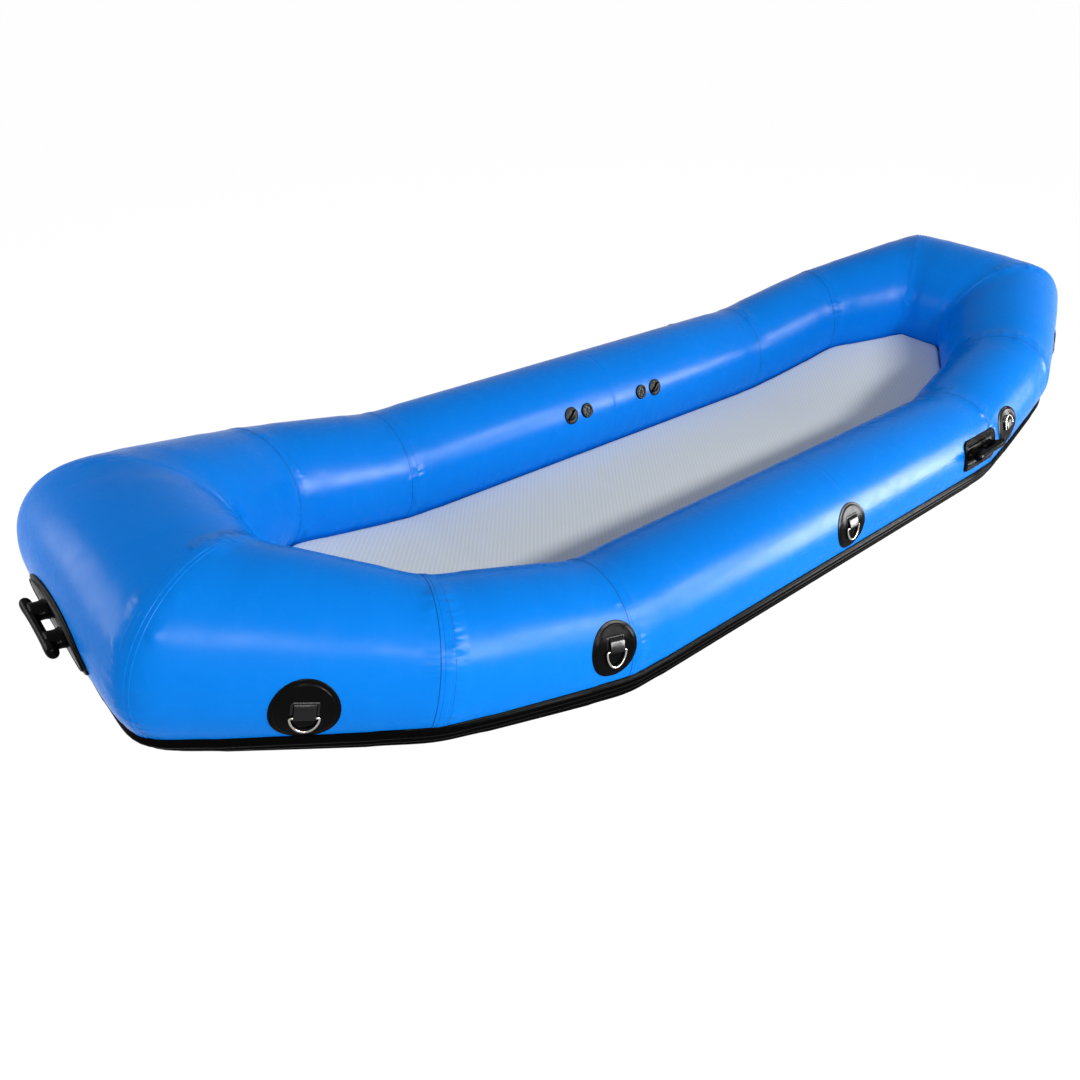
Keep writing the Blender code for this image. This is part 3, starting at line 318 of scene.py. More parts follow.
class Palette:
    """Every finish of the raft, made once."""

    def __init__(self) -> None:
        """Make the looks."""
        blue = ("blue_coated_pvc", "0584EE")
        self.tube = CoatedFabric("calendered_blue_pvc", *blue, 0.26).build()
        self.band = CoatedFabric("calendered_blue_pvc_band", *blue, 0.22, pucker=0.0048).build()
        # Painted shade: a darker blue on the band's narrow edge faces, which draws the shadow of the overlap's edge as
        # a thin dark line
        self.painted_edge_shade = Finish("cut_edge_of_blue_pvc", "blue_coated_pvc", "0E4E9C", 0.5).plain()
        # Heavy black coated cloth, satin, that takes a soft sheen along its edges
        self.black_fabric = Finish("calendered_black_pvc", "black_reinforced_pvc", "040405", 0.19,
                                   specular=0.010, sheen=5.0).plain()
        # Moulded synthetic rubber, semi-gloss, with sharp thin highlights
        self.rubber = Finish("moulded_black_rubber", "black_moulded_rubber", "050505", 0.22,
                             specular=0.008, sheen=4.5).plain()
        self.floor = FloorFabric("ribbed_grey_drop_stitch_cloth", "grey_floor_fabric", "F3F8F4", 0.6).build()
        # Injection moulded nylon, satin
        self.nylon = Finish("moulded_black_nylon", "black_moulded_nylon", "060607", 0.24,
                            specular=0.01, sheen=6.0).plain()
        # Welded and polished stainless rod, bright
        self.steel = Finish("polished_stainless_steel", "stainless_steel", "A29F99", 0.2, metallic=1.0,
                            specular=0.5, sheen=1.0).plain()
        # Coated tape, shinier than bare weave, that catches thin bright lines on its folds
        self.webbing = Webbing("coated_black_webbing", "black_reinforced_pvc", "040405", 0.17,
                               specular=0.017, sheen=14.0).build()
        # Extruded rubber, duller than the mouldings, with one thin line of light on each ridge
        self.strake = Finish("extruded_black_rubber", "black_moulded_rubber", "040404", 0.18,
                             specular=0.004, sheen=4.0).plain()


# The tube ring

TUBE_RADIUS = 0.180


class SeamKind(Enum):
    """Where a seam is along the hull: half length, half width, rise and tube radius."""

    MID = (0.875, 0.495, 0.0, TUBE_RADIUS)
    QUARTER = (1.320, 0.427, 0.104, TUBE_RADIUS)
    CORNER = (1.694, 0.212, 0.202, 0.218)


@dataclass
class Seam:
    """One mitred seam of the tube ring."""

    kind: SeamKind
    centre: Vector
    radius: float


@dataclass
class Ring:
    """One section of the tube ring: its panel, its place along it, and its softened points."""

    panel: int
    distance: float
    share: float
    matrix: Matrix = field(default_factory=Matrix)
    points: list[Vector] = field(default_factory=list)


@dataclass
class TubeRing:
    """The inflated ring: twelve panels, mitred at twelve seams and softened there."""

    centre_height: float = 0.18094
    sides: int = 96
    near_step: float = 0.014
    near_reach: float = 0.112
    far_step: float = 0.042
    soften_passes: int = 20
    creased_panels: tuple[int, ...] = (2, 5, 8, 11)
    band_half_width: float = 0.0145
    band_height: float = 0.0008
    probe: float = 0.004
    probe_angle: float = 2.0
    seams: list[Seam] = field(default_factory=list)
    rings: list[Ring] = field(default_factory=list)
    first_ring: list[int] = field(default_factory=list)

    def __post_init__(self) -> None:
        """Place the seams, cut the sections and soften the corners."""
        order = [(SeamKind.CORNER, -1), (SeamKind.QUARTER, -1), (SeamKind.MID, -1),
                 (SeamKind.MID, 1), (SeamKind.QUARTER, 1), (SeamKind.CORNER, 1)]
        for side in (-1, 1):
            for kind, end in order if side < 0 else reversed(order):
                length, width, rise, radius = kind.value
                centre = Vector((end * length, side * width, self.centre_height + rise))
                self.seams.append(Seam(kind, centre, radius))
        self.cut_sections()
        self.shape = self.loft()

    def seam(self, number: int) -> Seam:
        """The seam of this number, counted round the ring."""
        return self.seams[number % len(self.seams)]

    def axis(self, panel: int) -> Vector:
        """Unit vector along a panel."""
        return (self.seam(panel + 1).centre - self.seam(panel).centre).normalized()

    def length(self, panel: int) -> float:
        """Length of a panel along its centre line."""
        return (self.seam(panel + 1).centre - self.seam(panel).centre).length

    def mitre(self, number: int) -> Matrix:
        """Map from a unit circle to the mitred section at a seam."""
        before, after = self.axis(number - 1), self.axis(number)
        along = (before + after).normalized()
        out = along.cross(UP).normalized()
        high = out.cross(along)
        bend = (after - before).normalized()
        stretch = 2 / (before + after).length - 1
        seam = self.seam(number)
        columns = [(spoke + bend * (spoke.dot(bend) * stretch)) * seam.radius for spoke in (out, high)]
        matrix = Matrix((*columns, along)).transposed().to_4x4()
        matrix.translation = seam.centre
        return matrix

    def cut_sections(self) -> None:
        """Set the sections of each panel, close together near its seams."""
        for panel in range(len(self.seams)):
            length = self.length(panel)
            reach = int(self.near_reach / self.near_step)
            near = [k * self.near_step for k in range(reach)]
            middle = length - 2 * self.near_reach
            count = max(2, round(middle / self.far_step))
            far = [self.near_reach + middle * k / count for k in range(count + 1)]
            distances = near + far + [length - d for d in reversed(near) if d > 0]
            first, last = self.mitre(panel), self.mitre(panel + 1)
            self.first_ring.append(len(self.rings))
            for distance in distances:
                share = distance / length
                self.rings.append(Ring(panel, distance, share, first * (1 - share) + last * share))

    def loft(self) -> bmesh.types.BMesh:
        """Bridge the sections to a closed ring, soften its corners and note its points."""
        bm = bmesh.new()
        bm.verts.layers.float.new("seam")
        bm.verts.layers.float.new("crease")
        bm.faces.layers.int.new("panel")
        bm.loops.layers.uv.new("skin")
        rows: list[list[bmesh.types.BMVert]] = []
        for ring in self.rings:
            made = bmesh.ops.create_circle(bm, radius=1.0, segments=self.sides, matrix=ring.matrix)
            rows.append(made["verts"])
        edges = [{edge for vert in row for edge in vert.link_edges} for row in rows]
        for here, there in zip(edges, edges[1:] + edges[:1]):
            bmesh.ops.bridge_loops(bm, edges=list(here | there))
        soft = [vert for ring, row in zip(self.rings, rows) for vert in row
                if min(ring.distance, self.length(ring.panel) - ring.distance) < self.near_reach - 0.001]
        smooth(bm, soft, self.soften_passes)
        for ring, row in zip(self.rings, rows):
            ring.points = [vert.co.copy() for vert in row]
        self.mark(bm, rows)
        return bm

    def mark(self, bm: bmesh.types.BMesh, rows: list[list[bmesh.types.BMVert]]) -> None:
        """Write each point's distance to its seam and to a crease, and the skin's UV map."""
        seam = bm.verts.layers.float["seam"]
        crease = bm.verts.layers.float["crease"]
        panel_of = bm.faces.layers.int["panel"]
        skin = bm.loops.layers.uv["skin"]
        where: dict[bmesh.types.BMVert, tuple[int, int]] = {}
        for number, (ring, row) in enumerate(zip(self.rings, rows)):
            length = self.length(ring.panel)
            creased = ring.panel in self.creased_panels
            for k, vert in enumerate(row):
                where[vert] = (number, k)
                vert[seam] = min(ring.distance, length - ring.distance)
                vert[crease] = abs(ring.distance - length / 2) if creased else 1.0
        arc = math.tau * TUBE_RADIUS / self.sides
        for face in bm.faces:
            spots = [where[loop.vert] for loop in face.loops]
            numbers = {number for number, _ in spots}
            first = max(numbers) if {0, len(self.rings) - 1} <= numbers else min(numbers)
            face[panel_of] = self.rings[first].panel
            wraps = {0, self.sides - 1} <= {k for _, k in spots}
            for loop, (number, k) in zip(face.loops, spots):
                ring = self.rings[number]
                along = ring.distance if ring.panel == self.rings[first].panel else self.length(face[panel_of])
                loop[skin].uv = ((k + self.sides if wraps and k == 0 else k) * arc, along)

    def skin(self, panel: int, distance: float, angle: float, height: float = 0.0) -> Vector:
        """Point over the softened skin.

        Args:
            panel: number of the panel.
            distance: metres along its centre line; it may run on into the next panel.
            angle: degrees from the outboard side upward.
            height: metres off the skin.

        Returns:
            The point in the raft's frame.
        """
        here = self.surface(panel, distance, angle)
        if not height:
            return here
        step, tilt = self.probe, self.probe_angle
        along = self.surface(panel, distance + step, angle) - self.surface(panel, distance - step, angle)
        across = self.surface(panel, distance, angle + tilt) - self.surface(panel, distance, angle - tilt)
        return here + along.cross(across).normalized() * height

    def surface(self, panel: int, distance: float, angle: float) -> Vector:
        """Point on the softened skin, smooth round the tube and straight between sections."""
        panel %= len(self.seams)
        while distance < 0:
            panel = (panel - 1) % len(self.seams)
            distance += self.length(panel)
        while distance > self.length(panel):
            distance -= self.length(panel)
            panel = (panel + 1) % len(self.seams)
        low = self.first_ring[panel]
        high = self.first_ring[panel + 1] if panel + 1 < len(self.seams) else len(self.rings)
        while high - low > 1:
            middle = (low + high) // 2
            low, high = (middle, high) if self.rings[middle].distance <= distance else (low, middle)
        first, last = self.rings[low], self.rings[(low + 1) % len(self.rings)]
        end = last.distance if last.panel == first.panel else self.length(panel)
        share = (distance - first.distance) / (end - first.distance)
        step = (angle - 90.0) / 360.0 * self.sides
        k = math.floor(step)
        t = step - k
        weights = (-0.5 * t + t * t - 0.5 * t ** 3, 1 - 2.5 * t * t + 1.5 * t ** 3,
                   0.5 * t + 2 * t * t - 1.5 * t ** 3, -0.5 * t * t + 0.5 * t ** 3)
        found = [sum((ring.points[(k + n - 1) % self.sides] * w for n, w in enumerate(weights)), Vector())
                 for ring in (first, last)]
        return found[0].lerp(found[1], share)

    def build(self, palette: Palette) -> None:
        """Cut the ring into its panels and lay the seam bands over the joints."""
        places = ("bow_corner", "bow_quarter", "mid", "stern_quarter", "stern_corner")
        port = [f"port_{place}_tube" for place in places]
        starboard = [f"starboard_{place}_tube" for place in reversed(places)]
        for panel, name in enumerate([*port, "stern_tube", *starboard, "bow_tube"]):
            part = self.shape.copy()
            layer = part.faces.layers.int["panel"]
            others = [face for face in part.faces if face[layer] != panel]
            bmesh.ops.delete(part, geom=others, context="FACES")
            new_piece(name + "_skin", part, [palette.tube], 180.0, replaces=name)
        for number in range(len(self.seams)):
            self.build_band(number, palette)

    def build_band(self, number: int, palette: Palette) -> None:
        """The band over a joint with the narrower tape on it, which show as four fine edges."""
        offsets = [-1.0, -0.90, -0.42, -0.36, 0.0, 0.36, 0.42, 0.90, 1.0]
        heights = [-0.2, 0.9, 0.9, 1.7, 1.7, 1.7, 0.9, 0.9, -0.2]
        steps = 2 * self.sides

        def place(i: int, k: int) -> Vector:
            distance = offsets[i] * self.band_half_width
            return self.skin(number, distance, 90.0 + 360.0 * k / steps, heights[i] * self.band_height)

        bm = wrapped_grid(len(offsets) - 1, steps, place)
        skin = bm.loops.layers.uv.new("skin")
        seam = bm.verts.layers.float.new("seam")
        crease = bm.verts.layers.float.new("crease")
        column, row = (bm.verts.layers.int[name] for name in ("column", "row"))
        arc = math.tau * TUBE_RADIUS / steps
        ends = ({0, 1}, {len(offsets) - 2, len(offsets) - 1})
        for vert in bm.verts:
            vert[seam] = abs(offsets[vert[column]]) * self.band_half_width
            vert[crease] = 1.0
        for face in bm.faces:
            columns = {vert[column] for vert in face.verts}
            # Except at the ends of the hull, the band's two outer edges get the darker blue of painted shade, the
            # overlap edge's shadow drawn as a line
            face.material_index = int(columns in ends and self.seam(number).kind is not SeamKind.CORNER)
            for loop in face.loops:
                loop[skin].uv = (loop.vert[row] * arc, offsets[loop.vert[column]] * self.band_half_width)
        bmesh.ops.remove_doubles(bm, verts=bm.verts, dist=WELD)
        new_piece(f"seam_band_{number + 1:02d}", bm, [palette.band, palette.painted_edge_shade], 24.0)


def wrapped_grid(columns: int, rows: int, place: Callable[[int, int], Vector]) -> bmesh.types.BMesh:
    """A grid of faces laid on a surface.

    Args:
        columns: number of faces one way.
        rows: number of faces the other way.
        place: gives the point for a column and row.

    Returns:
        The laid grid, whose vertices know their column and row.
    """
    bm = bmesh.new()
    column = bm.verts.layers.int.new("column")
    row = bm.verts.layers.int.new("row")
    bmesh.ops.create_grid(bm, x_segments=columns, y_segments=rows, size=1.0)
    for vert in bm.verts:
        vert[column] = round((vert.co.x + 1) / 2 * columns)
        vert[row] = round((vert.co.y + 1) / 2 * rows)
        vert.co = place(vert[column], vert[row])
    return bm


def closed_grid(columns: int, rows: int, place: Callable[[int, int], Vector],
                capped: bool = False) -> bmesh.types.BMesh:
    """A laid grid whose meeting edges and poles are welded.

    Args:
        columns: number of faces one way.
        rows: number of faces the other way.
        place: gives the point for a column and row; where two agree, they become one vertex.
        capped: whether the ends that are left open get a face.

    Returns:
        The closed surface.
    """
    bm = wrapped_grid(columns, rows, place)
    bmesh.ops.remove_doubles(bm, verts=bm.verts, dist=WELD)
    if capped:
        bmesh.ops.holes_fill(bm, edges=[edge for edge in bm.edges if edge.is_boundary], sides=0)
    return bm


def smooth(bm: bmesh.types.BMesh, verts: Sequence[bmesh.types.BMVert], passes: int) -> None:
    """Soften a shape at these vertices, this many times."""
    for _ in range(passes):
        bmesh.ops.smooth_vert(bm, verts=verts, factor=0.5, use_axis_x=True, use_axis_y=True, use_axis_z=True)


# Trim under the waterline

@dataclass
class Trim:
    """The ribbed strake round the lower outer side and the wear fabric under it; heights are off the skin."""

    ring: TubeRing
    span: float = 22.5
    base: float = 0.0055
    lip: float = 0.0020
    under: float = -0.0010
    ridge: float = 0.0078
    ridges: int = 3
    ridge_steps: int = 8
    margin: float = 0.05
    wear_height: float = 0.0016
    wear_under: float = -0.0004
    wear_start: float = 0.8
    wear_end: float = -101.25
    wear_steps: int = 20
    wear_gap: float = 0.0004
    top_angles: ClassVar[dict[SeamKind, float]] = {SeamKind.MID: -4.0, SeamKind.QUARTER: -14.0, SeamKind.CORNER: -22.0}

    def top(self, ring: Ring) -> float:
        """Angle of the strake's upper edge at a section."""
        first = self.top_angles[self.ring.seam(ring.panel).kind]
        last = self.top_angles[self.ring.seam(ring.panel + 1).kind]
        return first + (last - first) * ring.share

    def build(self, palette: Palette) -> None:
        """Lay both round the ring."""
        self.build_strake(palette)
        self.build_wear_skin(palette)

    def build_strake(self, palette: Palette) -> None:
        """Three rounded ridges on a base with thin lips."""
        edge = [(0.0, self.under), (0.0, self.lip), (0.03, self.base * 0.7)]
        profile = list(edge)
        for ridge in range(self.ridges):
            for k in range(self.ridge_steps + 1):
                share = k / self.ridge_steps
                across = self.margin + (1 - 2 * self.margin) * (ridge + share) / self.ridges
                profile.append((across, self.base + self.ridge * math.sin(math.pi * share) ** 0.7))
        profile += [(1 - across, height) for across, height in reversed(edge)] + [(0.5, self.under), edge[0]]
        rings = self.ring.rings

        def place(i: int, k: int) -> Vector:
            ring = rings[i % len(rings)]
            across, height = profile[k]
            return self.ring.skin(ring.panel, ring.distance, self.top(ring) - self.span * across, height)

        bm = closed_grid(len(rings), len(profile) - 1, place)
        new_piece("ribbed_strake", bm, [palette.strake], 50.0, replaces="rubbing_strake")

    def build_wear_skin(self, palette: Palette) -> None:
        """The black fabric under each half of the hull, from the strake to the inner side."""
        steps, count = self.wear_steps, len(self.ring.seams)
        for side, first_panel in (("port", 11), ("starboard", 5)):
            last_panel = (first_panel + 6) % count
            half = self.ring.length(first_panel) / 2
            # The two halves of the fabric meet at the middle of the bow tube and of the stern tube
            kept = [Ring(first_panel, half + self.wear_gap, 0.5)]
            for panel in range(first_panel, first_panel + 7):
                kept += [ring for ring in self.ring.rings if ring.panel == panel % count
                         and not (ring.panel == first_panel and ring.distance < half + 0.002)
                         and not (ring.panel == last_panel and ring.distance > half - 0.002)]
            kept.append(Ring(last_panel, half - self.wear_gap, 0.5))

            def place(i: int, k: int) -> Vector:
                ring = kept[i]
                k %= 2 * steps + 2
                outside = k <= steps
                share = k / steps if outside else (2 * steps + 1 - k) / steps
                start = self.top(ring) - self.span * self.wear_start
                height = self.wear_height if outside else self.wear_under
                return self.ring.skin(ring.panel, ring.distance, start + (self.wear_end - start) * share, height)

            bm = closed_grid(len(kept) - 1, 2 * steps + 2, place, capped=True)
            new_piece(f"{side}_wear_fabric", bm, [palette.black_fabric], 50.0, replaces=f"{side}_wear_skin")


@dataclass
class Floor:
    """The drop-stitch floor, a flat slab that follows the tubes' rise."""

    ring: TubeRing
    top_angle: float = 212.0
    side_angles: tuple[float, ...] = (219.0, 226.0, 234.0, 242.0)
    low_angle: float = 250.0
    top_clearance: float = 0.0010
    side_clearance: float = 0.0015
    edge_round: float = 0.016
    edge_drop: float = 0.010
    across: int = 30
    under_across: int = 8
    edge_shares: tuple[float, ...] = (0.0, 0.002, 0.006, 0.011, 0.018, 0.03)
    last_shares: tuple[float, ...] = (0.982, 0.989, 0.994, 0.998, 1.0)

    def edges(self, ring: Ring, angle: float, height: float) -> tuple[Vector, Vector]:
        """The points over the port and the starboard tube at an angle."""
        near = self.ring.skin(ring.panel, ring.distance, angle, height)
        return near, Vector((near.x, -near.y, near.z))

    def section(self, ring: Ring) -> list[Vector]:
        """Points round the slab: over the top, down the starboard side, back underneath and up the port side."""
        near, far = self.edges(ring, self.top_angle, self.top_clearance)
        first = self.edge_shares[-1]
        shares = [*self.edge_shares, *(first + (1 - 2 * first) * k / self.across for k in range(1, self.across + 1)),
                  *self.last_shares]
        points: list[Vector] = []
        for share in shares:
            inset = min(share, 1 - share) * (far - near).length
            fall = max(0.0, 1 - inset / self.edge_round)
            points.append(near.lerp(far, share) - UP * (self.edge_drop * fall ** 2.2))
        sides = [self.edges(ring, angle, self.side_clearance) for angle in self.side_angles]
        near, far = self.edges(ring, self.low_angle, self.side_clearance)
        under = [far.lerp(near, k / self.under_across) for k in range(self.under_across + 1)]
        points += [starboard for _, starboard in sides] + under + [port for port, _ in reversed(sides)]
        return points + points[:1]

    def build(self, palette: Palette) -> None:
        """Lay the slab's section along the hull, from the bow tube to the stern tube."""
        rings = [ring for ring in self.ring.rings if ring.panel < 5]
        rings.append(next(ring for ring in self.ring.rings if ring.panel == 5))
        sections = [self.section(ring) for ring in rings]
        bm = closed_grid(len(sections) - 1, len(sections[0]) - 1, lambda i, k: sections[i][k], capped=True)
        new_piece("ribbed_floor", bm, [palette.floor], 40.0, replaces="drop_stitch_floor")


# Shapes that several fittings share

def swept(path: Sequence[Vector], widths: Sequence[float], normal: Vector, sides: int,
          closed: bool = False, flat: float = 1.0) -> bmesh.types.BMesh:
    """A round or oval bar along a path that lies in a plane.

    Args:
        path: the points of its centre line.
        widths: its radius at each point.
        normal: the direction square to the plane of the path.
        sides: number of faces round it.
        closed: whether the path returns to its start.
        flat: how much wider it is along the normal than across it.

    Returns:
        The closed bar.
    """
    count = len(path)
    spokes: list[Vector] = []
    for k, point in enumerate(path):
        before = path[k - 1] if closed or k else point
        after = path[(k + 1) % count] if closed or k + 1 < count else point
        spokes.append((after - before).normalized().cross(normal).normalized())

    def place(i: int, k: int) -> Vector:
        i %= count
        turn = math.tau * k / sides
        reach = spokes[i] * math.cos(turn) + normal * (math.sin(turn) * flat)
        return path[i] + reach * widths[i]

    return closed_grid(count if closed else count - 1, sides, place)


def turned(profile: Sequence[tuple[float, float]], sides: int) -> bmesh.types.BMesh:
    """A profile spun round Z, as on a lathe.

    Args:
        profile: radius and height of each corner, from the axis or a closed ring of corners.
        sides: number of steps of the turn.

    Returns:
        The turned surface.
    """
    bm = bmesh.new()
    verts = [bm.verts.new((radius, 0.0, height)) for radius, height in profile]
    edges = [bm.edges.new(pair) for pair in zip(verts, verts[1:])]
    if min(profile[0][0], profile[-1][0]) > 0:
        edges.append(bm.edges.new((verts[-1], verts[0])))
    bmesh.ops.spin(bm, geom=verts + edges, axis=(0, 0, 1), cent=(0, 0, 0), dvec=(0, 0, 0),
                   angle=math.tau, steps=sides, use_merge=True)
    bmesh.ops.remove_doubles(bm, verts=bm.verts, dist=WELD)
    return bm


def eased(bm: bmesh.types.BMesh, width: float, segments: int = 2) -> bmesh.types.BMesh:
    """Round the sharp edges of a shape, as a moulding has them.

    Args:
        bm: the shape, which is changed.
        width: how far the rounding reaches from the edge.
        segments: number of faces across it.

    Returns:
        The same shape.
    """
    bmesh.ops.recalc_face_normals(bm, faces=bm.faces)
    sharp = [edge for edge in bm.edges if edge.is_manifold and edge.calc_face_angle() > SHARP_ANGLE]
    bmesh.ops.bevel(bm, geom=sharp, offset=width, segments=segments, profile=0.5, affect="EDGES",
                    clamp_overlap=True, material=-1)
    return bm


def block(size: tuple[float, float, float], taper: tuple[float, float] = (1.0, 1.0)) -> bmesh.types.BMesh:
    """A block centred on the origin whose top is drawn in, as moulding needs.

    Args:
        size: its length, width and height.
        taper: the share of length and width that its top keeps.

    Returns:
        The block, still with sharp edges.
    """
    bm = bmesh.new()
    bmesh.ops.create_cube(bm, size=1.0)
    bmesh.ops.scale(bm, vec=size, verts=bm.verts)
    top = [vert for vert in bm.verts if vert.co.z > 0]
    bmesh.ops.scale(bm, vec=(*taper, 1.0), verts=top)
    return bm


def joined(shapes: Sequence[bmesh.types.BMesh]) -> bmesh.types.BMesh:
    """Put shapes in one bmesh and free them.

    Args:
        shapes: the shapes, which are freed.

    Returns:
        All of them as one.
    """
    whole = bmesh.new()
    for shape in shapes:
        mesh = bpy.data.meshes.new("shape")
        shape.to_mesh(mesh)
        shape.free()
        whole.from_mesh(mesh)
        bpy.data.meshes.remove(mesh)
    return whole


def melted(shapes: Sequence[bmesh.types.BMesh], voxel: float, passes: int) -> bmesh.types.BMesh:
    """Melt closed shapes together so that their inner corners are rounded, as in one moulding.

    Args:
        shapes: the shapes, which are freed.
        voxel: size of the grid that finds their common skin.
        passes: how many times the skin is smoothed.

    Returns:
        The common skin.
    """
    bm = joined(shapes)
    mesh = bpy.data.meshes.new("melted")
    bm.to_mesh(mesh)
    bm.free()
    solid = bpy.data.objects.new("melted", mesh)
    bpy.context.scene.collection.objects.link(solid)
    join = solid.modifiers.new("join", "REMESH")
    join.mode = "VOXEL"
    join.voxel_size = voxel
    skin = bpy.data.meshes.new_from_object(solid.evaluated_get(bpy.context.evaluated_depsgraph_get()))
    bpy.data.objects.remove(solid)
    bpy.data.meshes.remove(mesh)
    bm = bmesh.new()
    bm.from_mesh(skin)
    bpy.data.meshes.remove(skin)
    smooth(bm, bm.verts, passes)
    return bm


def rounded_outline(half_length: float, half_width: float, corner: float) -> Outline:
    """Outline of a plate with round corners, with as many points whatever its size.

    Args:
        half_length: half its size along X.
        half_width: half its size along Y.
        corner: radius of its corners.

    Returns:
        Points round the outline.
    """
    outline: Outline = []
    turns = runs = 8
    for quarter in range(4):
        sx = 1 if quarter in (0, 3) else -1
        sy = 1 if quarter in (0, 1) else -1
        centre = (sx * (half_length - corner), sy * (half_width - corner))
        for k in range(turns + 1):
            angle = math.radians(90 * (quarter + k / turns))
            outline.append((centre[0] + corner * math.cos(angle), centre[1] + corner * math.sin(angle)))
        last = outline[-1]
        swap = (-1, 1) if quarter in (0, 2) else (1, -1)
        target = (last[0] * swap[0], last[1] * swap[1])
        outline += [(last[0] + (target[0] - last[0]) * k / runs, last[1] + (target[1] - last[1]) * k / runs)
                    for k in range(1, runs)]
    return outline


def leaf_outline(half_length: float, half_width: float, taper: float = 0.35) -> Outline:
    """Outline of a long oval that comes to a blunt point at both ends.

    Args:
        half_length: half its size along X.
        half_width: half its size along Y at the middle.
        taper: how much narrower than an oval it is near its points.

    Returns:
        Points round the outline.
    """
    outline: Outline = []
    sides = 96
    for k in range(sides):
        angle = math.tau * k / sides
        narrow = 1 - taper * math.cos(angle) ** 4
        outline.append((half_length * math.cos(angle), half_width * math.sin(angle) * narrow))
    return outline


@dataclass
class Spot:
    """A place on the tube's skin, found as the solids have it: X along the tube, Y round it, Z out of it."""

    ring: TubeRing
    panel: int
    distance: float
    angle: float
    radius: float = field(init=False)
    matrix: Matrix = field(init=False)

    def __post_init__(self) -> None:
        """Find the frame that touches the skin there."""
        self.radius = self.ring.seam(self.panel).radius
        origin = self.over(0, 0, 0)
        centre = self.ring.seam(self.panel).centre + self.ring.axis(self.panel) * self.distance
        self.radius = (origin - centre).length
        probe = self.ring.probe
        along = (self.over(probe, 0, 0) - self.over(-probe, 0, 0)).normalized()
        out = along.cross(self.over(0, probe, 0) - self.over(0, -probe, 0)).normalized()
        self.matrix = Matrix((along, out.cross(along), out)).transposed().to_4x4()
        self.matrix.translation = origin

    def over(self, x: float, y: float, z: float) -> Vector:
        """The point where a flat point lies once it is laid round the tube, in the raft's frame."""
        angle = self.angle + math.degrees(y / self.radius)
        turn = math.radians(angle)
        spoke = Vector((math.cos(turn), math.sin(turn), 0.0))
        first = self.ring.mitre(self.panel) @ spoke
        last = self.ring.mitre(self.panel + 1) @ spoke
        axis = self.ring.axis(self.panel)
        start = (first - self.ring.seam(self.panel).centre).dot(axis)
        share = (self.distance + x - start) / (last - first).dot(axis)
        return self.ring.skin(self.panel, share * self.ring.length(self.panel), angle, z)

    def contour(self, outline_at: Callable[[float], Outline],
                levels: Sequence[tuple[float, float]], middle: float) -> bmesh.types.BMesh:
        """A plate laid on the skin, made of outlines one inside the other.

        Args:
            outline_at: gives the outline at an inset from the plate's edge.
            levels: inset and height of each outline, from the edge inwards.
            middle: height of the plate's middle.

        Returns:
            The plate, with its underside.
        """
        inner = outline_at(levels[-1][0])
        rows = [(outline_at(inset), height) for inset, height in levels]
        rows += [([(x, y * share) for x, y in inner], middle) for share in (0.75, 0.5, 0.25, 0.0)]
        edge = outline_at(levels[0][0])
        under = levels[0][1]
        rows = [([(x, y * share) for x, y in edge], under) for share in (0.0, 0.5, 0.8)] + rows
        count = len(edge)

        def place(i: int, k: int) -> Vector:
            outline, height = rows[i]
            x, y = outline[k % count]
            return self.over(x, y, height)

        return closed_grid(len(rows) - 1, count, place)


# Lashing points

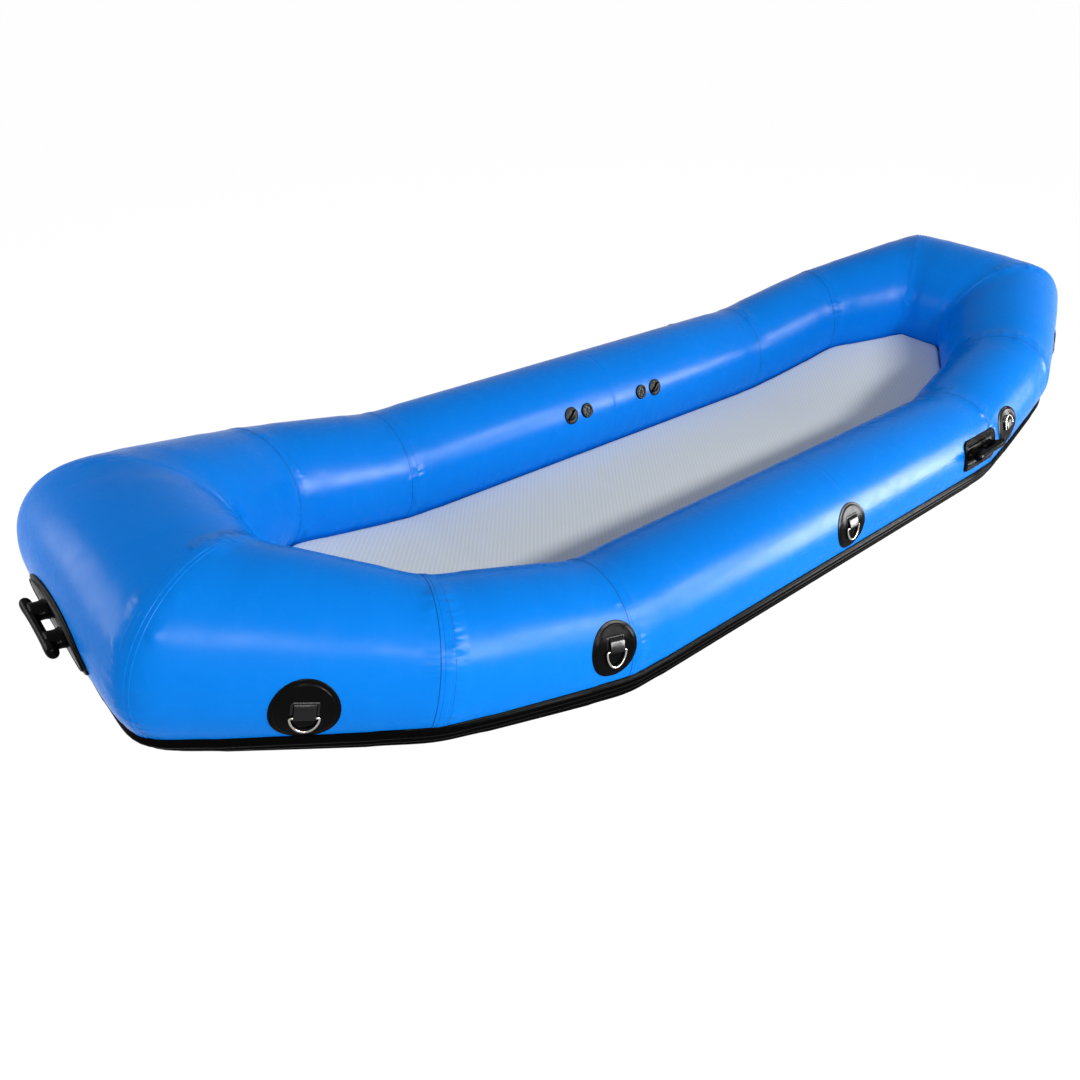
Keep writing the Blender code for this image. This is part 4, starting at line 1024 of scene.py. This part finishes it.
@dataclass
class LashingPoint:
    """A base disc, a cover disc and a webbing loop that holds a steel ring."""

    name: str
    spot: Spot
    raised: bool = False
    disc_rise: float = 0.0
    disc_stretch: float = 1.0
    disc_radius: float = 0.068
    cover_radius: float = 0.0585
    disc_top: float = 0.0020
    disc_under: float = -0.0015
    disc_sides: int = 72
    cover_top: float = 0.0034
    webbing_half_width: float = 0.0210
    webbing_thickness: float = 0.0016
    webbing_tail: float = 0.0300
    webbing_slack: float = 0.0007
    edge_high: float = 0.0019
    edge_low: float = -0.0006
    edge_width: float = 0.0066
    edge_half_length: float = 0.0190
    edge_middle: float = 0.0170
    bar_shift: float = 0.0
    bar_height: float = 0.0066
    bar_slope: float = 0.0
    wire_radius: float = 0.0025
    ring_half_bar: float = 0.0280
    ring_depth: float = 0.0400
    lean: float = 3.0

    def build(self, palette: Palette) -> None:
        """Make the discs, the webbing and the ring."""
        self.build_discs(palette)
        self.build_webbing(palette)
        self.build_pressed_edge(palette)
        self.build_ring(palette)

    def build_discs(self, palette: Palette) -> None:
        """Two bonded discs whose rims are rolled thin."""
        base, cover = self.disc_radius, self.cover_radius
        top, upper = self.disc_top, self.cover_top
        profile = [(base * share, self.disc_under) for share in (0.0, 0.3, 0.6, 0.85, 1.0)]
        profile += [(base, 0.0004), (base - 0.0003, top - 0.0007), (base - 0.0010, top - 0.0001),
                    (base - 0.0022, top), (cover + 0.0030, top), (cover + 0.0006, top + 0.0001),
                    (cover, top + 0.0006), (cover - 0.0005, upper - 0.0001), (cover - 0.0012, upper + 0.0004),
                    (cover - 0.0024, upper + 0.0005), (cover - 0.0036, upper + 0.0002)]
        profile += [((cover - 0.0050) * share, upper) for share in (1.0, 0.85, 0.68, 0.5, 0.34, 0.17, 0.0)]

        def place(i: int, k: int) -> Vector:
            radius, height = profile[i]
            turn = math.tau * k / self.disc_sides
            high = radius * math.sin(turn) * self.disc_stretch + self.disc_rise
            return self.spot.over(radius * math.cos(turn), high, height)

        bm = closed_grid(len(profile) - 1, self.disc_sides, place)
        new_piece(self.name + "_discs", bm, [palette.black_fabric], 60.0, replaces=self.name + "_patch")

    def build_webbing(self, palette: Palette) -> None:
        """The tape: its tail on the cover and its fold round the ring's bar."""
        half = self.webbing_thickness / 2
        bore = self.wire_radius + self.webbing_slack + half
        tail, bar, cover = self.webbing_tail, self.bar_height, self.cover_top
        path = [(tail, cover + 0.0006), (tail - 0.0036, cover + 0.0024), (tail - 0.0068, bar + 0.0006),
                (tail - 0.0090, bar + 0.0018), (0.0090, bar + 0.0032)]
        path += [(self.bar_shift + bore * math.cos(math.radians(turn)), bar + bore * math.sin(math.radians(turn)))
                 for turn in range(75, 276, 20)]
        path += [(0.0040, cover + 0.2 * half), (0.0090, cover), (0.0150, cover - 0.0004)]
        edge = self.webbing_half_width
        top = [(edge - 0.0003, 0.75), (edge - 0.0012, 1.0), (edge / 3, 1.0)]
        section = [(-edge, 0.0), *((-x, side) for x, side in top), *reversed(top), (edge, 0.0),
                   *((x, -side) for x, side in top), *((-x, -side) for x, side in reversed(top))]

        def place(i: int, k: int) -> Vector:
            before = path[max(i - 1, 0)]
            after = path[min(i + 1, len(path) - 1)]
            run = Vector((after[0] - before[0], after[1] - before[1])).normalized()
            x, side = section[k % len(section)]
            pinch = 0.35 if i in (0, len(path) - 1) else 1.0
            y = path[i][0] + run.y * side * half * pinch
            z = path[i][1] - run.x * side * half * pinch
            share = min(max((path[i][1] - cover) / (bar - cover), 0.0), 1.0)
            return self.spot.over(x, y, z + self.bar_slope * x * share)

        bm = closed_grid(len(path) - 1, len(section), place, capped=True)
        new_piece(self.name + "_webbing", bm, [palette.webbing], 60.0, replaces=self.name + "_patch")

    def build_pressed_edge(self, palette: Palette) -> None:
        """The raised edge that is pressed round the tape's tail."""
        low, high = self.edge_low, self.edge_high
        levels = [(0.0, low), (0.0004, high - 0.0016), (0.0018, high - 0.0010), (0.0032, high - 0.0002),
                  (0.0040, high), (0.0048, high - 0.0002), (0.0054, low)]
        outlines = [rounded_outline(self.webbing_half_width + self.edge_width - inset, self.edge_half_length - inset,
                                    self.edge_width - inset) for inset, _ in levels]
        count = len(outlines[0])

        def place(i: int, k: int) -> Vector:
            _, height = levels[i % len(levels)]
            x, y = outlines[i % len(levels)][k % count]
            y += self.edge_middle
            # Next to the bar the edge is pressed almost flat, which leaves the ring room to swing over it
            share = min(max((y - 0.0035) / 0.0065, 0.0), 1.0)
            rise = height if height < 0.0 else height * (0.2 + 0.8 * share)
            return self.spot.over(x, y, self.cover_top + rise)

        bm = closed_grid(len(levels), count, place)
        new_piece(self.name + "_pressed_edge", bm, [palette.webbing], 60.0, replaces=self.name + "_patch")

    def build_ring(self, palette: Palette) -> None:
        """The bent rod: a straight bar, two tight corners and sides that draw in to a round bottom."""
        bar, depth = self.ring_half_bar, self.ring_depth
        corners = [(bar, -0.003), (bar - 0.0005, -0.009), (bar - 0.0022, -0.016)]
        path = [(x, 0.0) for x in (0.0, bar * 0.35, bar * 0.7, bar - 0.004)] + [(bar - 0.0012, -0.0010)] + corners
        pulls = (corners[-1], (bar * 0.72, -depth * 0.80), (bar * 0.38, -depth), (0.0, -depth))
        steps = 12
        for k in range(1, steps + 1):
            t = k / steps
            weights = ((1 - t) ** 3, 3 * t * (1 - t) ** 2, 3 * t * t * (1 - t), t ** 3)
            path.append(tuple(sum(w * pull[axis] for w, pull in zip(weights, pulls)) for axis in (0, 1)))
        path += [(-x, y) for x, y in reversed(path[1:-1])]
        flip = -1 if self.raised else 1
        lean = Matrix.Rotation(math.radians(self.lean * flip), 4, "X")
        slope = Matrix.Rotation(-math.atan(self.bar_slope), 4, "Y")
        place = self.spot.matrix @ Matrix.Translation((0, self.bar_shift, self.bar_height)) @ slope @ lean
        line = [Vector((x, y * flip, 0.0)) for x, y in path]
        bm = swept(line, [self.wire_radius] * len(line), UP, 16, closed=True)
        body = self.name + "_ring"
        new_piece(body + "_rod", bm, [palette.steel], 60.0, body=body, replaces=body, place=place)


@dataclass
class LashingPoints:
    """The ten lashing points, at the places that the solids have."""

    ring: TubeRing
    mid_angle: float = 20.0
    quarter_angle: float = 22.5
    corner_angle: float = 2.0
    bow_quarter_inset: float = 0.066
    stern_quarter_inset: float = 0.098
    corner_inset: float = 0.198
    corner_rise: float = 0.008
    corner_stretch: float = 1.12
    other_rise: float = 0.002

    def build(self, palette: Palette) -> None:
        """Build them on the port side and mirror their places to starboard."""
        length = self.ring.length
        # Distance along each port panel, angle, and the bar's shift, height and slope, which put it on its joint
        places = [("bow_corner", self.corner_inset, self.corner_angle, (-0.0003, 0.0066, 0.0)),
                  ("bow_quarter", length(1) - self.bow_quarter_inset, self.quarter_angle, (0.0, 0.0083, 0.0)),
                  ("mid", length(2) / 2, self.mid_angle, (0.0003, 0.0067, 0.0)),
                  ("stern_quarter", self.stern_quarter_inset, self.quarter_angle, (0.0, 0.0077, -0.04)),
                  ("stern_corner", length(4) - self.corner_inset, self.corner_angle, (-0.0003, 0.0066, 0.0))]
        for panel, (name, distance, angle, (shift, height, slope)) in enumerate(places):
            corner = "corner" in name
            across = 10 - panel
            sides = (("port_", panel, distance, slope, name == "stern_quarter"),
                     ("starboard_", across, length(across) - distance, -slope, False))
            for side, number, along, tilt, raised in sides:
                LashingPoint(side + name, Spot(self.ring, number, along, angle), raised,
                             self.corner_rise if corner else self.other_rise,
                             self.corner_stretch if corner else 1.0,
                             bar_shift=shift, bar_height=height, bar_slope=tilt).build(palette)


# Grab handles

@dataclass
class Handle:
    """A moulded grip on two posts, on a plate that hugs the tube."""

    name: str
    spot: Spot
    outline_at: Callable[[float], Outline]
    levels: Sequence[tuple[float, float]]
    middle: float
    half_span: float = 0.056
    reach: float = 0.104
    grip_height: float = 0.0350
    grip_radius: float = 0.0105
    grip_flat: float = 1.22
    droop: float = 0.0015
    post_length: float = 0.0275
    post_flat: float = 0.66
    voxel: float = 0.0014
    smooth_passes: int = 6

    def build(self, palette: Palette) -> None:
        """Make the plate and the grip."""
        plate = self.spot.contour(self.outline_at, self.levels, self.middle)
        new_piece(self.name + "_plate", plate, [palette.rubber], 60.0, replaces=self.name)
        self.build_grip(palette)

    def build_grip(self, palette: Palette) -> None:
        """A bar that swells over its posts, and posts that flare at their feet, melted together."""
        stations = [(-1.0, 0.05), (-0.995, 0.40), (-0.98, 0.74), (-0.95, 1.0), (-0.91, 1.14), (-0.84, 1.18),
                    (-0.72, 1.14), (-0.55, 1.04), (-0.3, 0.97), (0.0, 0.95)]
        stations += [(-share, swell) for share, swell in reversed(stations[:-1])]
        line = [Vector((share * self.reach, 0.0, self.grip_height - self.droop * share ** 4)) for share, _ in stations]
        widths = [swell * self.grip_radius for _, swell in stations]
        sideways = Vector((0.0, 1.0, 0.0))
        shapes = [swept(line, widths, sideways, 32, flat=self.grip_flat)]
        post = [(0.0, -0.0001), (1.26, 0.0), (1.16, 0.0030), (1.02, 0.0075), (0.94, 0.0140), (0.94, 0.0210),
                (1.0, 0.0280), (0.98, 0.0335), (0.0, 0.0336)]
        for end in (-1, 1):
            foot = [Vector((end * self.half_span, 0.0, height)) for _, height in post]
            swells = [share * self.post_length for share, _ in post]
            shapes.append(swept(foot, swells, sideways, 40, flat=self.post_flat))
        bm = melted(shapes, self.voxel, self.smooth_passes)
        new_piece(self.name + "_grip", bm, [palette.rubber], 180.0, replaces=self.name, place=self.spot.matrix)


@dataclass
class Handles:
    """The handle on each side towards the stern and the long one on each end."""

    ring: TubeRing
    side_offset: float = 0.770
    side_angle: float = 22.5
    end_angle: float = 2.5
    side_middle: float = 0.0022
    end_middle: float = 0.0062
    plate_half_length: float = 0.105
    plate_half_width: float = 0.052
    plate_corner: float = 0.022
    least_corner: float = 0.003
    leaf_half_length: float = 0.190
    leaf_half_width: float = 0.056

    def side_outline(self, inset: float) -> Outline:
        """The side plate's outline at an inset."""
        return rounded_outline(self.plate_half_length - inset, self.plate_half_width - inset,
                               max(self.plate_corner - inset, self.least_corner))

    def end_outline(self, inset: float) -> Outline:
        """The end plate's outline at an inset."""
        return leaf_outline(self.leaf_half_length - inset, self.leaf_half_width - inset)

    def build(self, palette: Palette) -> None:
        """Build the four handles."""
        middle = self.ring.length(2) / 2
        lipped = [(0.0, -0.0020), (0.0, 0.0018), (0.0006, 0.0040), (0.0018, 0.0058), (0.0036, 0.0066),
                  (0.0056, 0.0060), (0.0068, 0.0042), (0.0076, 0.0030), (0.0098, 0.0030), (0.0106, 0.0044),
                  (0.0120, 0.0047), (0.0132, 0.0042), (0.0140, 0.0027), (0.0162, 0.0027), (0.0170, 0.0040),
                  (0.0184, 0.0042), (0.0196, 0.0036), (0.0204, 0.0022)]
        sides = (("port_handle", 2, middle + self.side_offset), ("starboard_handle", 8, middle - self.side_offset))
        for name, panel, distance in sides:
            spot = Spot(self.ring, panel, distance, self.side_angle)
            Handle(name, spot, self.side_outline, lipped, self.side_middle).build(palette)
        ridged = [(0.0, -0.0020), (0.0, 0.0010), (0.0006, 0.0026), (0.0018, 0.0036), (0.0040, 0.0040),
                  (0.0110, 0.0042), (0.0128, 0.0050), (0.0142, 0.0068), (0.0158, 0.0076), (0.0176, 0.0074),
                  (0.0190, 0.0062), (0.0204, 0.0056), (0.0240, 0.0058)]
        for name, panel in (("bow_handle", 11), ("stern_handle", 5)):
            spot = Spot(self.ring, panel, self.ring.length(panel) / 2, self.end_angle)
            Handle(name, spot, self.end_outline, ridged, self.end_middle).build(palette)


# Valves

@dataclass
class ValveBody:
    """What both kinds of valve share: a flange on a barrel with a ring nut behind the skin."""

    name: str
    matrix: Matrix
    flange_radius: float
    flange_top: float
    barrel_radius: float
    bore_radius: float
    seat_radius: float
    depth: float
    flange_under: float = -0.0020
    nut_width: float = 0.0075
    nut_top: float = -0.0045
    nut_under: float = -0.0105
    round_off: float = 0.0003
    sides: int = 64

    def outside(self, edge: float) -> Outline:
        """The profile from the flange's rounded edge down to the end of the barrel.

        Args:
            edge: how far under the flange's top its upright side starts.

        Returns:
            Radius and height of each corner.
        """
        rim, barrel, under = self.flange_radius, self.barrel_radius, self.flange_under
        nut = barrel + self.nut_width
        return [(rim, self.flange_top - edge), (rim, under), (barrel, under), (barrel, self.nut_top),
                (nut, self.nut_top), (nut, self.nut_under), (barrel, self.nut_under), (barrel, -self.depth)]


@dataclass
class InflationValve(ValveBody):
    """A welded-in body, and a quarter-turn cap with a bar to grip."""

    flange_radius: float = 0.0290
    flange_top: float = 0.0050
    barrel_radius: float = 0.0220
    bore_radius: float = 0.0180
    seat_radius: float = 0.0130
    depth: float = 0.0270
    recess_radius: float = 0.0245
    recess_floor: float = 0.0015
    seat_height: float = 0.003
    cap_turn: float = 40.0
    cap_play: float = 0.0009
    cap_lift: float = 0.0003
    cap_height: float = 0.0032

    def build(self, palette: Palette) -> None:
        """Make the body and the cap."""
        rim, top, recess, bore = self.flange_radius, self.flange_top, self.recess_radius, self.bore_radius
        seat = -self.depth + self.seat_height
        profile = self.outside(0.0022) + [(self.seat_radius, -self.depth), (self.seat_radius, seat), (bore, seat),
                                          (bore, self.recess_floor), (recess, self.recess_floor),
                                          (recess, top - 0.0004), (recess + 0.0004, top), (rim - 0.0020, top),
                                          (rim - 0.0007, top - 0.0007)]
        body = eased(turned(profile, self.sides), self.round_off)
        new_piece(self.name + "_housing", body, [palette.nylon], 50.0, replaces=self.name + "_body",
                  place=self.matrix)
        radius, low = recess - self.cap_play, self.recess_floor + self.cap_lift
        high = low + self.cap_height
        plate = turned([(0.0, high), (radius * 0.62, high), (radius * 0.66, high - 0.0004),
                        (radius * 0.78, high - 0.0004), (radius * 0.82, high), (radius - 0.0008, high),
                        (radius, high - 0.0008), (radius, low), (0.0, low)], self.sides)
        bar = eased(block((2 * radius - 0.0032, 0.0090, 0.0080), (0.92, 0.66)), 0.0012, 3)
        bmesh.ops.translate(bar, vec=(0.0, 0.0, high + 0.0032), verts=bar.verts)
        cap = joined([eased(plate, self.round_off), bar])
        new_piece(self.name + "_grip_cap", cap, [palette.nylon], 50.0, body=self.name + "_cap",
                  replaces=self.name + "_cap",
                  place=self.matrix @ Matrix.Rotation(math.radians(self.cap_turn), 4, "Z"))


@dataclass
class ReliefValve(ValveBody):
    """A body with a high rim round a star-shaped grille."""

    flange_radius: float = 0.0250
    flange_top: float = 0.0065
    barrel_radius: float = 0.0195
    bore_radius: float = 0.0160
    seat_radius: float = 0.0110
    depth: float = 0.0280
    seat_top: float = -0.0030
    seat_under: float = -0.0055
    disc_top: float = 0.0034
    disc_under: float = 0.0023
    grille_sunk: float = 0.0018
    rib_width: float = 0.0034
    rib_depth: float = 0.0014
    ribs: int = 6

    def build(self, palette: Palette) -> None:
        """Make the body with its grille and ring nut."""
        rim, top, bore, seat = self.flange_radius, self.flange_top, self.bore_radius, self.seat_radius
        profile = self.outside(0.0026) + [(bore, -self.depth), (bore, self.seat_under), (seat, self.seat_under),
                                          (seat, self.seat_top), (bore, self.seat_top), (bore, top - 0.0012),
                                          (bore + 0.0014, top - 0.0006), (bore + 0.0030, top), (rim - 0.0026, top),
                                          (rim - 0.0008, top - 0.0010)]
        height = top - self.grille_sunk
        hub = turned([(0.0, height + 0.0009), (0.0036, height + 0.0007), (0.0046, height), (0.0046, height - 0.0014),
                      (0.0, height - 0.0014)], 24)
        # The sealing disc as it shows between the ribs, dark under the grille
        disc = turned([(0.0, self.disc_top), (bore, self.disc_top), (bore, self.disc_under), (0.0, self.disc_under)],
                      self.sides)
        shapes = [eased(turned(profile, self.sides), self.round_off), hub, disc]
        for k in range(self.ribs):
            rib = eased(block((bore - 0.002, self.rib_width, self.rib_depth), (1.0, 0.7)), self.round_off)
            bmesh.ops.translate(rib, vec=(bore / 2 + 0.0016, 0.0, height - 0.0004), verts=rib.verts)
            turn = Matrix.Rotation(math.tau * k / self.ribs, 3, "Z")
            bmesh.ops.rotate(rib, cent=(0, 0, 0), matrix=turn, verts=rib.verts)
            shapes.append(rib)
        new_piece(self.name + "_grille", joined(shapes), [palette.nylon], 50.0, replaces=self.name + "_body",
                  place=self.matrix)


@dataclass
class Valves:
    """The two pairs of valves on the starboard tube's inner face, and the floor's own valve."""

    ring: TubeRing
    angle: float = 157.5
    panel: int = 8
    inflation_offset: float = 0.208
    relief_offset: float = 0.135
    sunk: float = 0.0009
    floor_place: tuple[float, float] = (-0.700, -0.262)
    floor_top: float = 0.0861

    def seat(self, offset: float) -> Matrix:
        """Place of a valve on the tube, as deep as its solid."""
        spot = Spot(self.ring, self.panel, self.ring.length(self.panel) / 2 - offset, self.angle)
        return spot.matrix @ Matrix.Translation((0.0, 0.0, -self.sunk))

    def build(self, palette: Palette) -> None:
        """Build the five valves."""
        for end, sign in (("bow", -1), ("stern", 1)):
            InflationValve(end + "_valve", self.seat(sign * self.inflation_offset)).build(palette)
            ReliefValve(end + "_relief", self.seat(sign * self.relief_offset)).build(palette)
        floor = Matrix.Translation((*self.floor_place, self.floor_top))
        InflationValve("floor_valve", floor).build(palette)


def dress_kept_parts(palette: Palette) -> None:
    """Give the solids that stay their finishes: baffles, springs, stems and poppets."""
    looks = {"baffle": palette.black_fabric, "spring": palette.steel, "stem": palette.nylon, "poppet": palette.nylon}
    for name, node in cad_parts.items():
        look = looks.get(name.rsplit("_", 1)[-1])
        if look and not node.hide_render:
            for place in node.material_slots:
                place.material = look.material
            log.info("%s keeps its solid, in %s", name, look.material.name)


# Studio

@dataclass(frozen=True)
class Lamp:
    """One large soft lamp: where it hangs, what it points at, its size in metres and its watts."""

    name: str
    place: tuple[float, float, float]
    aim: tuple[float, float, float]
    size: tuple[float, float]
    power: float
    lights: bool = True
    reflects: bool = True

    def build(self) -> None:
        """Hang the lamp and point it."""
        data = bpy.data.lights.new(self.name, "AREA")
        data.shape = "RECTANGLE"
        data.size, data.size_y = self.size
        data.energy = self.power
        lamp = bpy.data.objects.new(self.name, data)
        lamp.visible_diffuse = self.lights
        lamp.visible_glossy = self.reflects
        bpy.context.scene.collection.objects.link(lamp)
        ahead = (Vector(self.aim) - Vector(self.place)).normalized()
        lamp.matrix_world = Matrix.Translation(self.place) @ ahead.to_track_quat("-Z", "Y").to_matrix().to_4x4()


@dataclass
class Studio:
    """Pale floor, white surroundings, soft lamps and the camera at the photograph's place."""

    place: tuple[float, float, float] = (-1.985, -1.5379, 1.4676)
    yaw: float = 0.7361
    pitch: float = 0.7235
    roll: float = 0.0574
    focus: float = 789.43
    image: float = 1080.0
    rise: float = 103.127
    sensor: float = 36.0
    reach: float = 150.0
    far_clip: float = 60.0
    sky_strength: float = 0.27
    glow: float = 1.09
    glow_share: float = 0.88

    def build(self) -> None:
        """Make everything that isn't the raft."""
        self.build_camera()
        self.build_surroundings()
        for lamp in (
                Lamp("side_window", (0.3, -4.8, 3.7), (0.0, 0.0, 0.2), (3.2, 0.6), 214.0),
                Lamp("long_window", (4.3, -4.9, 1.6), (0.0, 0.0, 0.3), (3.4, 1.4), 158.0),
                # Only reflected: the bright panes that draw the long streaks on the tubes
                Lamp("low_pane", (5.2, -4.4, 1.35), (0.0, 0.0, 0.3), (2.4, 2.2), 1050.0, lights=False),
                Lamp("high_pane", (3.4, -4.7, 3.5), (-0.5, 0.0, 0.3), (1.9, 1.3), 400.0, lights=False),
                Lamp("bow_quarter_pane", (-2.8, -4.1, 4.0), (-1.2, -0.4, 0.3), (1.7, 1.1), 190.0, lights=False),
                Lamp("stern_quarter_pane", (0.7, -4.7, 2.5), (1.3, 0.2, 0.3), (2.0, 1.2), 300.0, lights=False),
                Lamp("bow_window", (-3.5, 1.8, 0.95), (-1.6, 0.0, 0.4), (1.4, 1.0), 38.0),
                # Only lights: an even fill, kept out of the gloss of the tubes
                Lamp("front_fill", (-3.6, -4.6, 1.6), (-0.8, 0.0, 0.3), (2.4, 1.6), 40.0, reflects=False)):
            lamp.build()

    def build_camera(self) -> None:
        """The camera, with the small shift of the photograph's framing."""
        data = bpy.data.cameras.new("photograph")
        camera = bpy.data.objects.new("photograph", data)
        bpy.context.scene.collection.objects.link(camera)
        ahead = Vector((math.cos(self.pitch) * math.sin(self.yaw), math.cos(self.pitch) * math.cos(self.yaw),
                        -math.sin(self.pitch)))
        right = ahead.cross(UP).normalized()
        high = right.cross(ahead)
        rolled = right * math.cos(self.roll) + high * math.sin(self.roll)
        high = high * math.cos(self.roll) - right * math.sin(self.roll)
        matrix = Matrix((rolled, high, -ahead)).transposed().to_4x4()
        matrix.translation = Vector(self.place)
        camera.matrix_world = matrix
        data.sensor_width = self.sensor
        data.lens = self.focus / self.image * self.sensor
        data.shift_y = self.rise / self.image
        data.clip_end = self.far_clip
        bpy.context.scene.camera = camera

    def seen_directly(self, tree: bpy.types.NodeTree) -> bpy.types.NodeSocket:
        """One for rays from the camera, mirrors and glass, and zero for the light that falls on things."""
        rays = add_node(tree, "ShaderNodeLightPath").outputs
        first = combined(tree, rays["Is Camera Ray"], rays["Is Glossy Ray"], "MAXIMUM")
        return combined(tree, first, rays["Is Transmission Ray"], "MAXIMUM")

    def build_surroundings(self) -> None:
        """A plain pale floor, white to the camera, under an even sky."""
        world = bpy.data.worlds.new("studio")
        bpy.context.scene.world = world
        world.use_nodes = True
        tree = world.node_tree
        tree.nodes.clear()
        seen = self.seen_directly(tree)
        even = add_node(tree, "ShaderNodeBackground", {"Color": linear("F6F7FA"), "Strength": self.sky_strength})
        white = add_node(tree, "ShaderNodeBackground", {"Color": (1, 1, 1, 1), "Strength": 1.0})
        mix = add_node(tree, "ShaderNodeMixShader", {0: seen, 1: even.outputs[0], 2: white.outputs[0]})
        add_node(tree, "ShaderNodeOutputWorld", {"Surface": mix.outputs[0]})
        bm = bmesh.new()
        bmesh.ops.create_grid(bm, x_segments=1, y_segments=1, size=self.reach)
        mesh = bpy.data.meshes.new("studio_floor")
        bm.to_mesh(mesh)
        bm.free()
        ground = bpy.data.objects.new("studio_floor", mesh)
        bpy.context.scene.collection.objects.link(ground)
        material = bpy.data.materials.new("painted_studio_floor")
        material.use_nodes = True
        tree = material.node_tree
        shader = tree.nodes["Principled BSDF"]
        shader.inputs["Base Color"].default_value = linear("E9E9E9")
        shader.inputs["Roughness"].default_value = 0.8
        shader.inputs["Specular IOR Level"].default_value = 0.1
        glow = add_node(tree, "ShaderNodeEmission", {"Color": (1, 1, 1, 1), "Strength": self.glow})
        share = combined(tree, self.seen_directly(tree), self.glow_share)
        mix = add_node(tree, "ShaderNodeMixShader", {0: share, 1: shader.outputs[0], 2: glow.outputs[0]})
        tree.links.new(mix.outputs[0], tree.nodes["Material Output"].inputs["Surface"])
        mesh.materials.append(material)
        bpy.context.scene.view_settings.view_transform = "Standard"


def main() -> None:
    """Build the raft's pieces in order, then the studio."""
    logging.basicConfig(level=logging.INFO, format="%(message)s")
    palette = Palette()
    ring = TubeRing()
    ring.build(palette)
    Trim(ring).build(palette)
    Floor(ring).build(palette)
    LashingPoints(ring).build(palette)
    Handles(ring).build(palette)
    Valves(ring).build(palette)
    dress_kept_parts(palette)
    Studio().build()


if __name__ == "__main__":
    main()
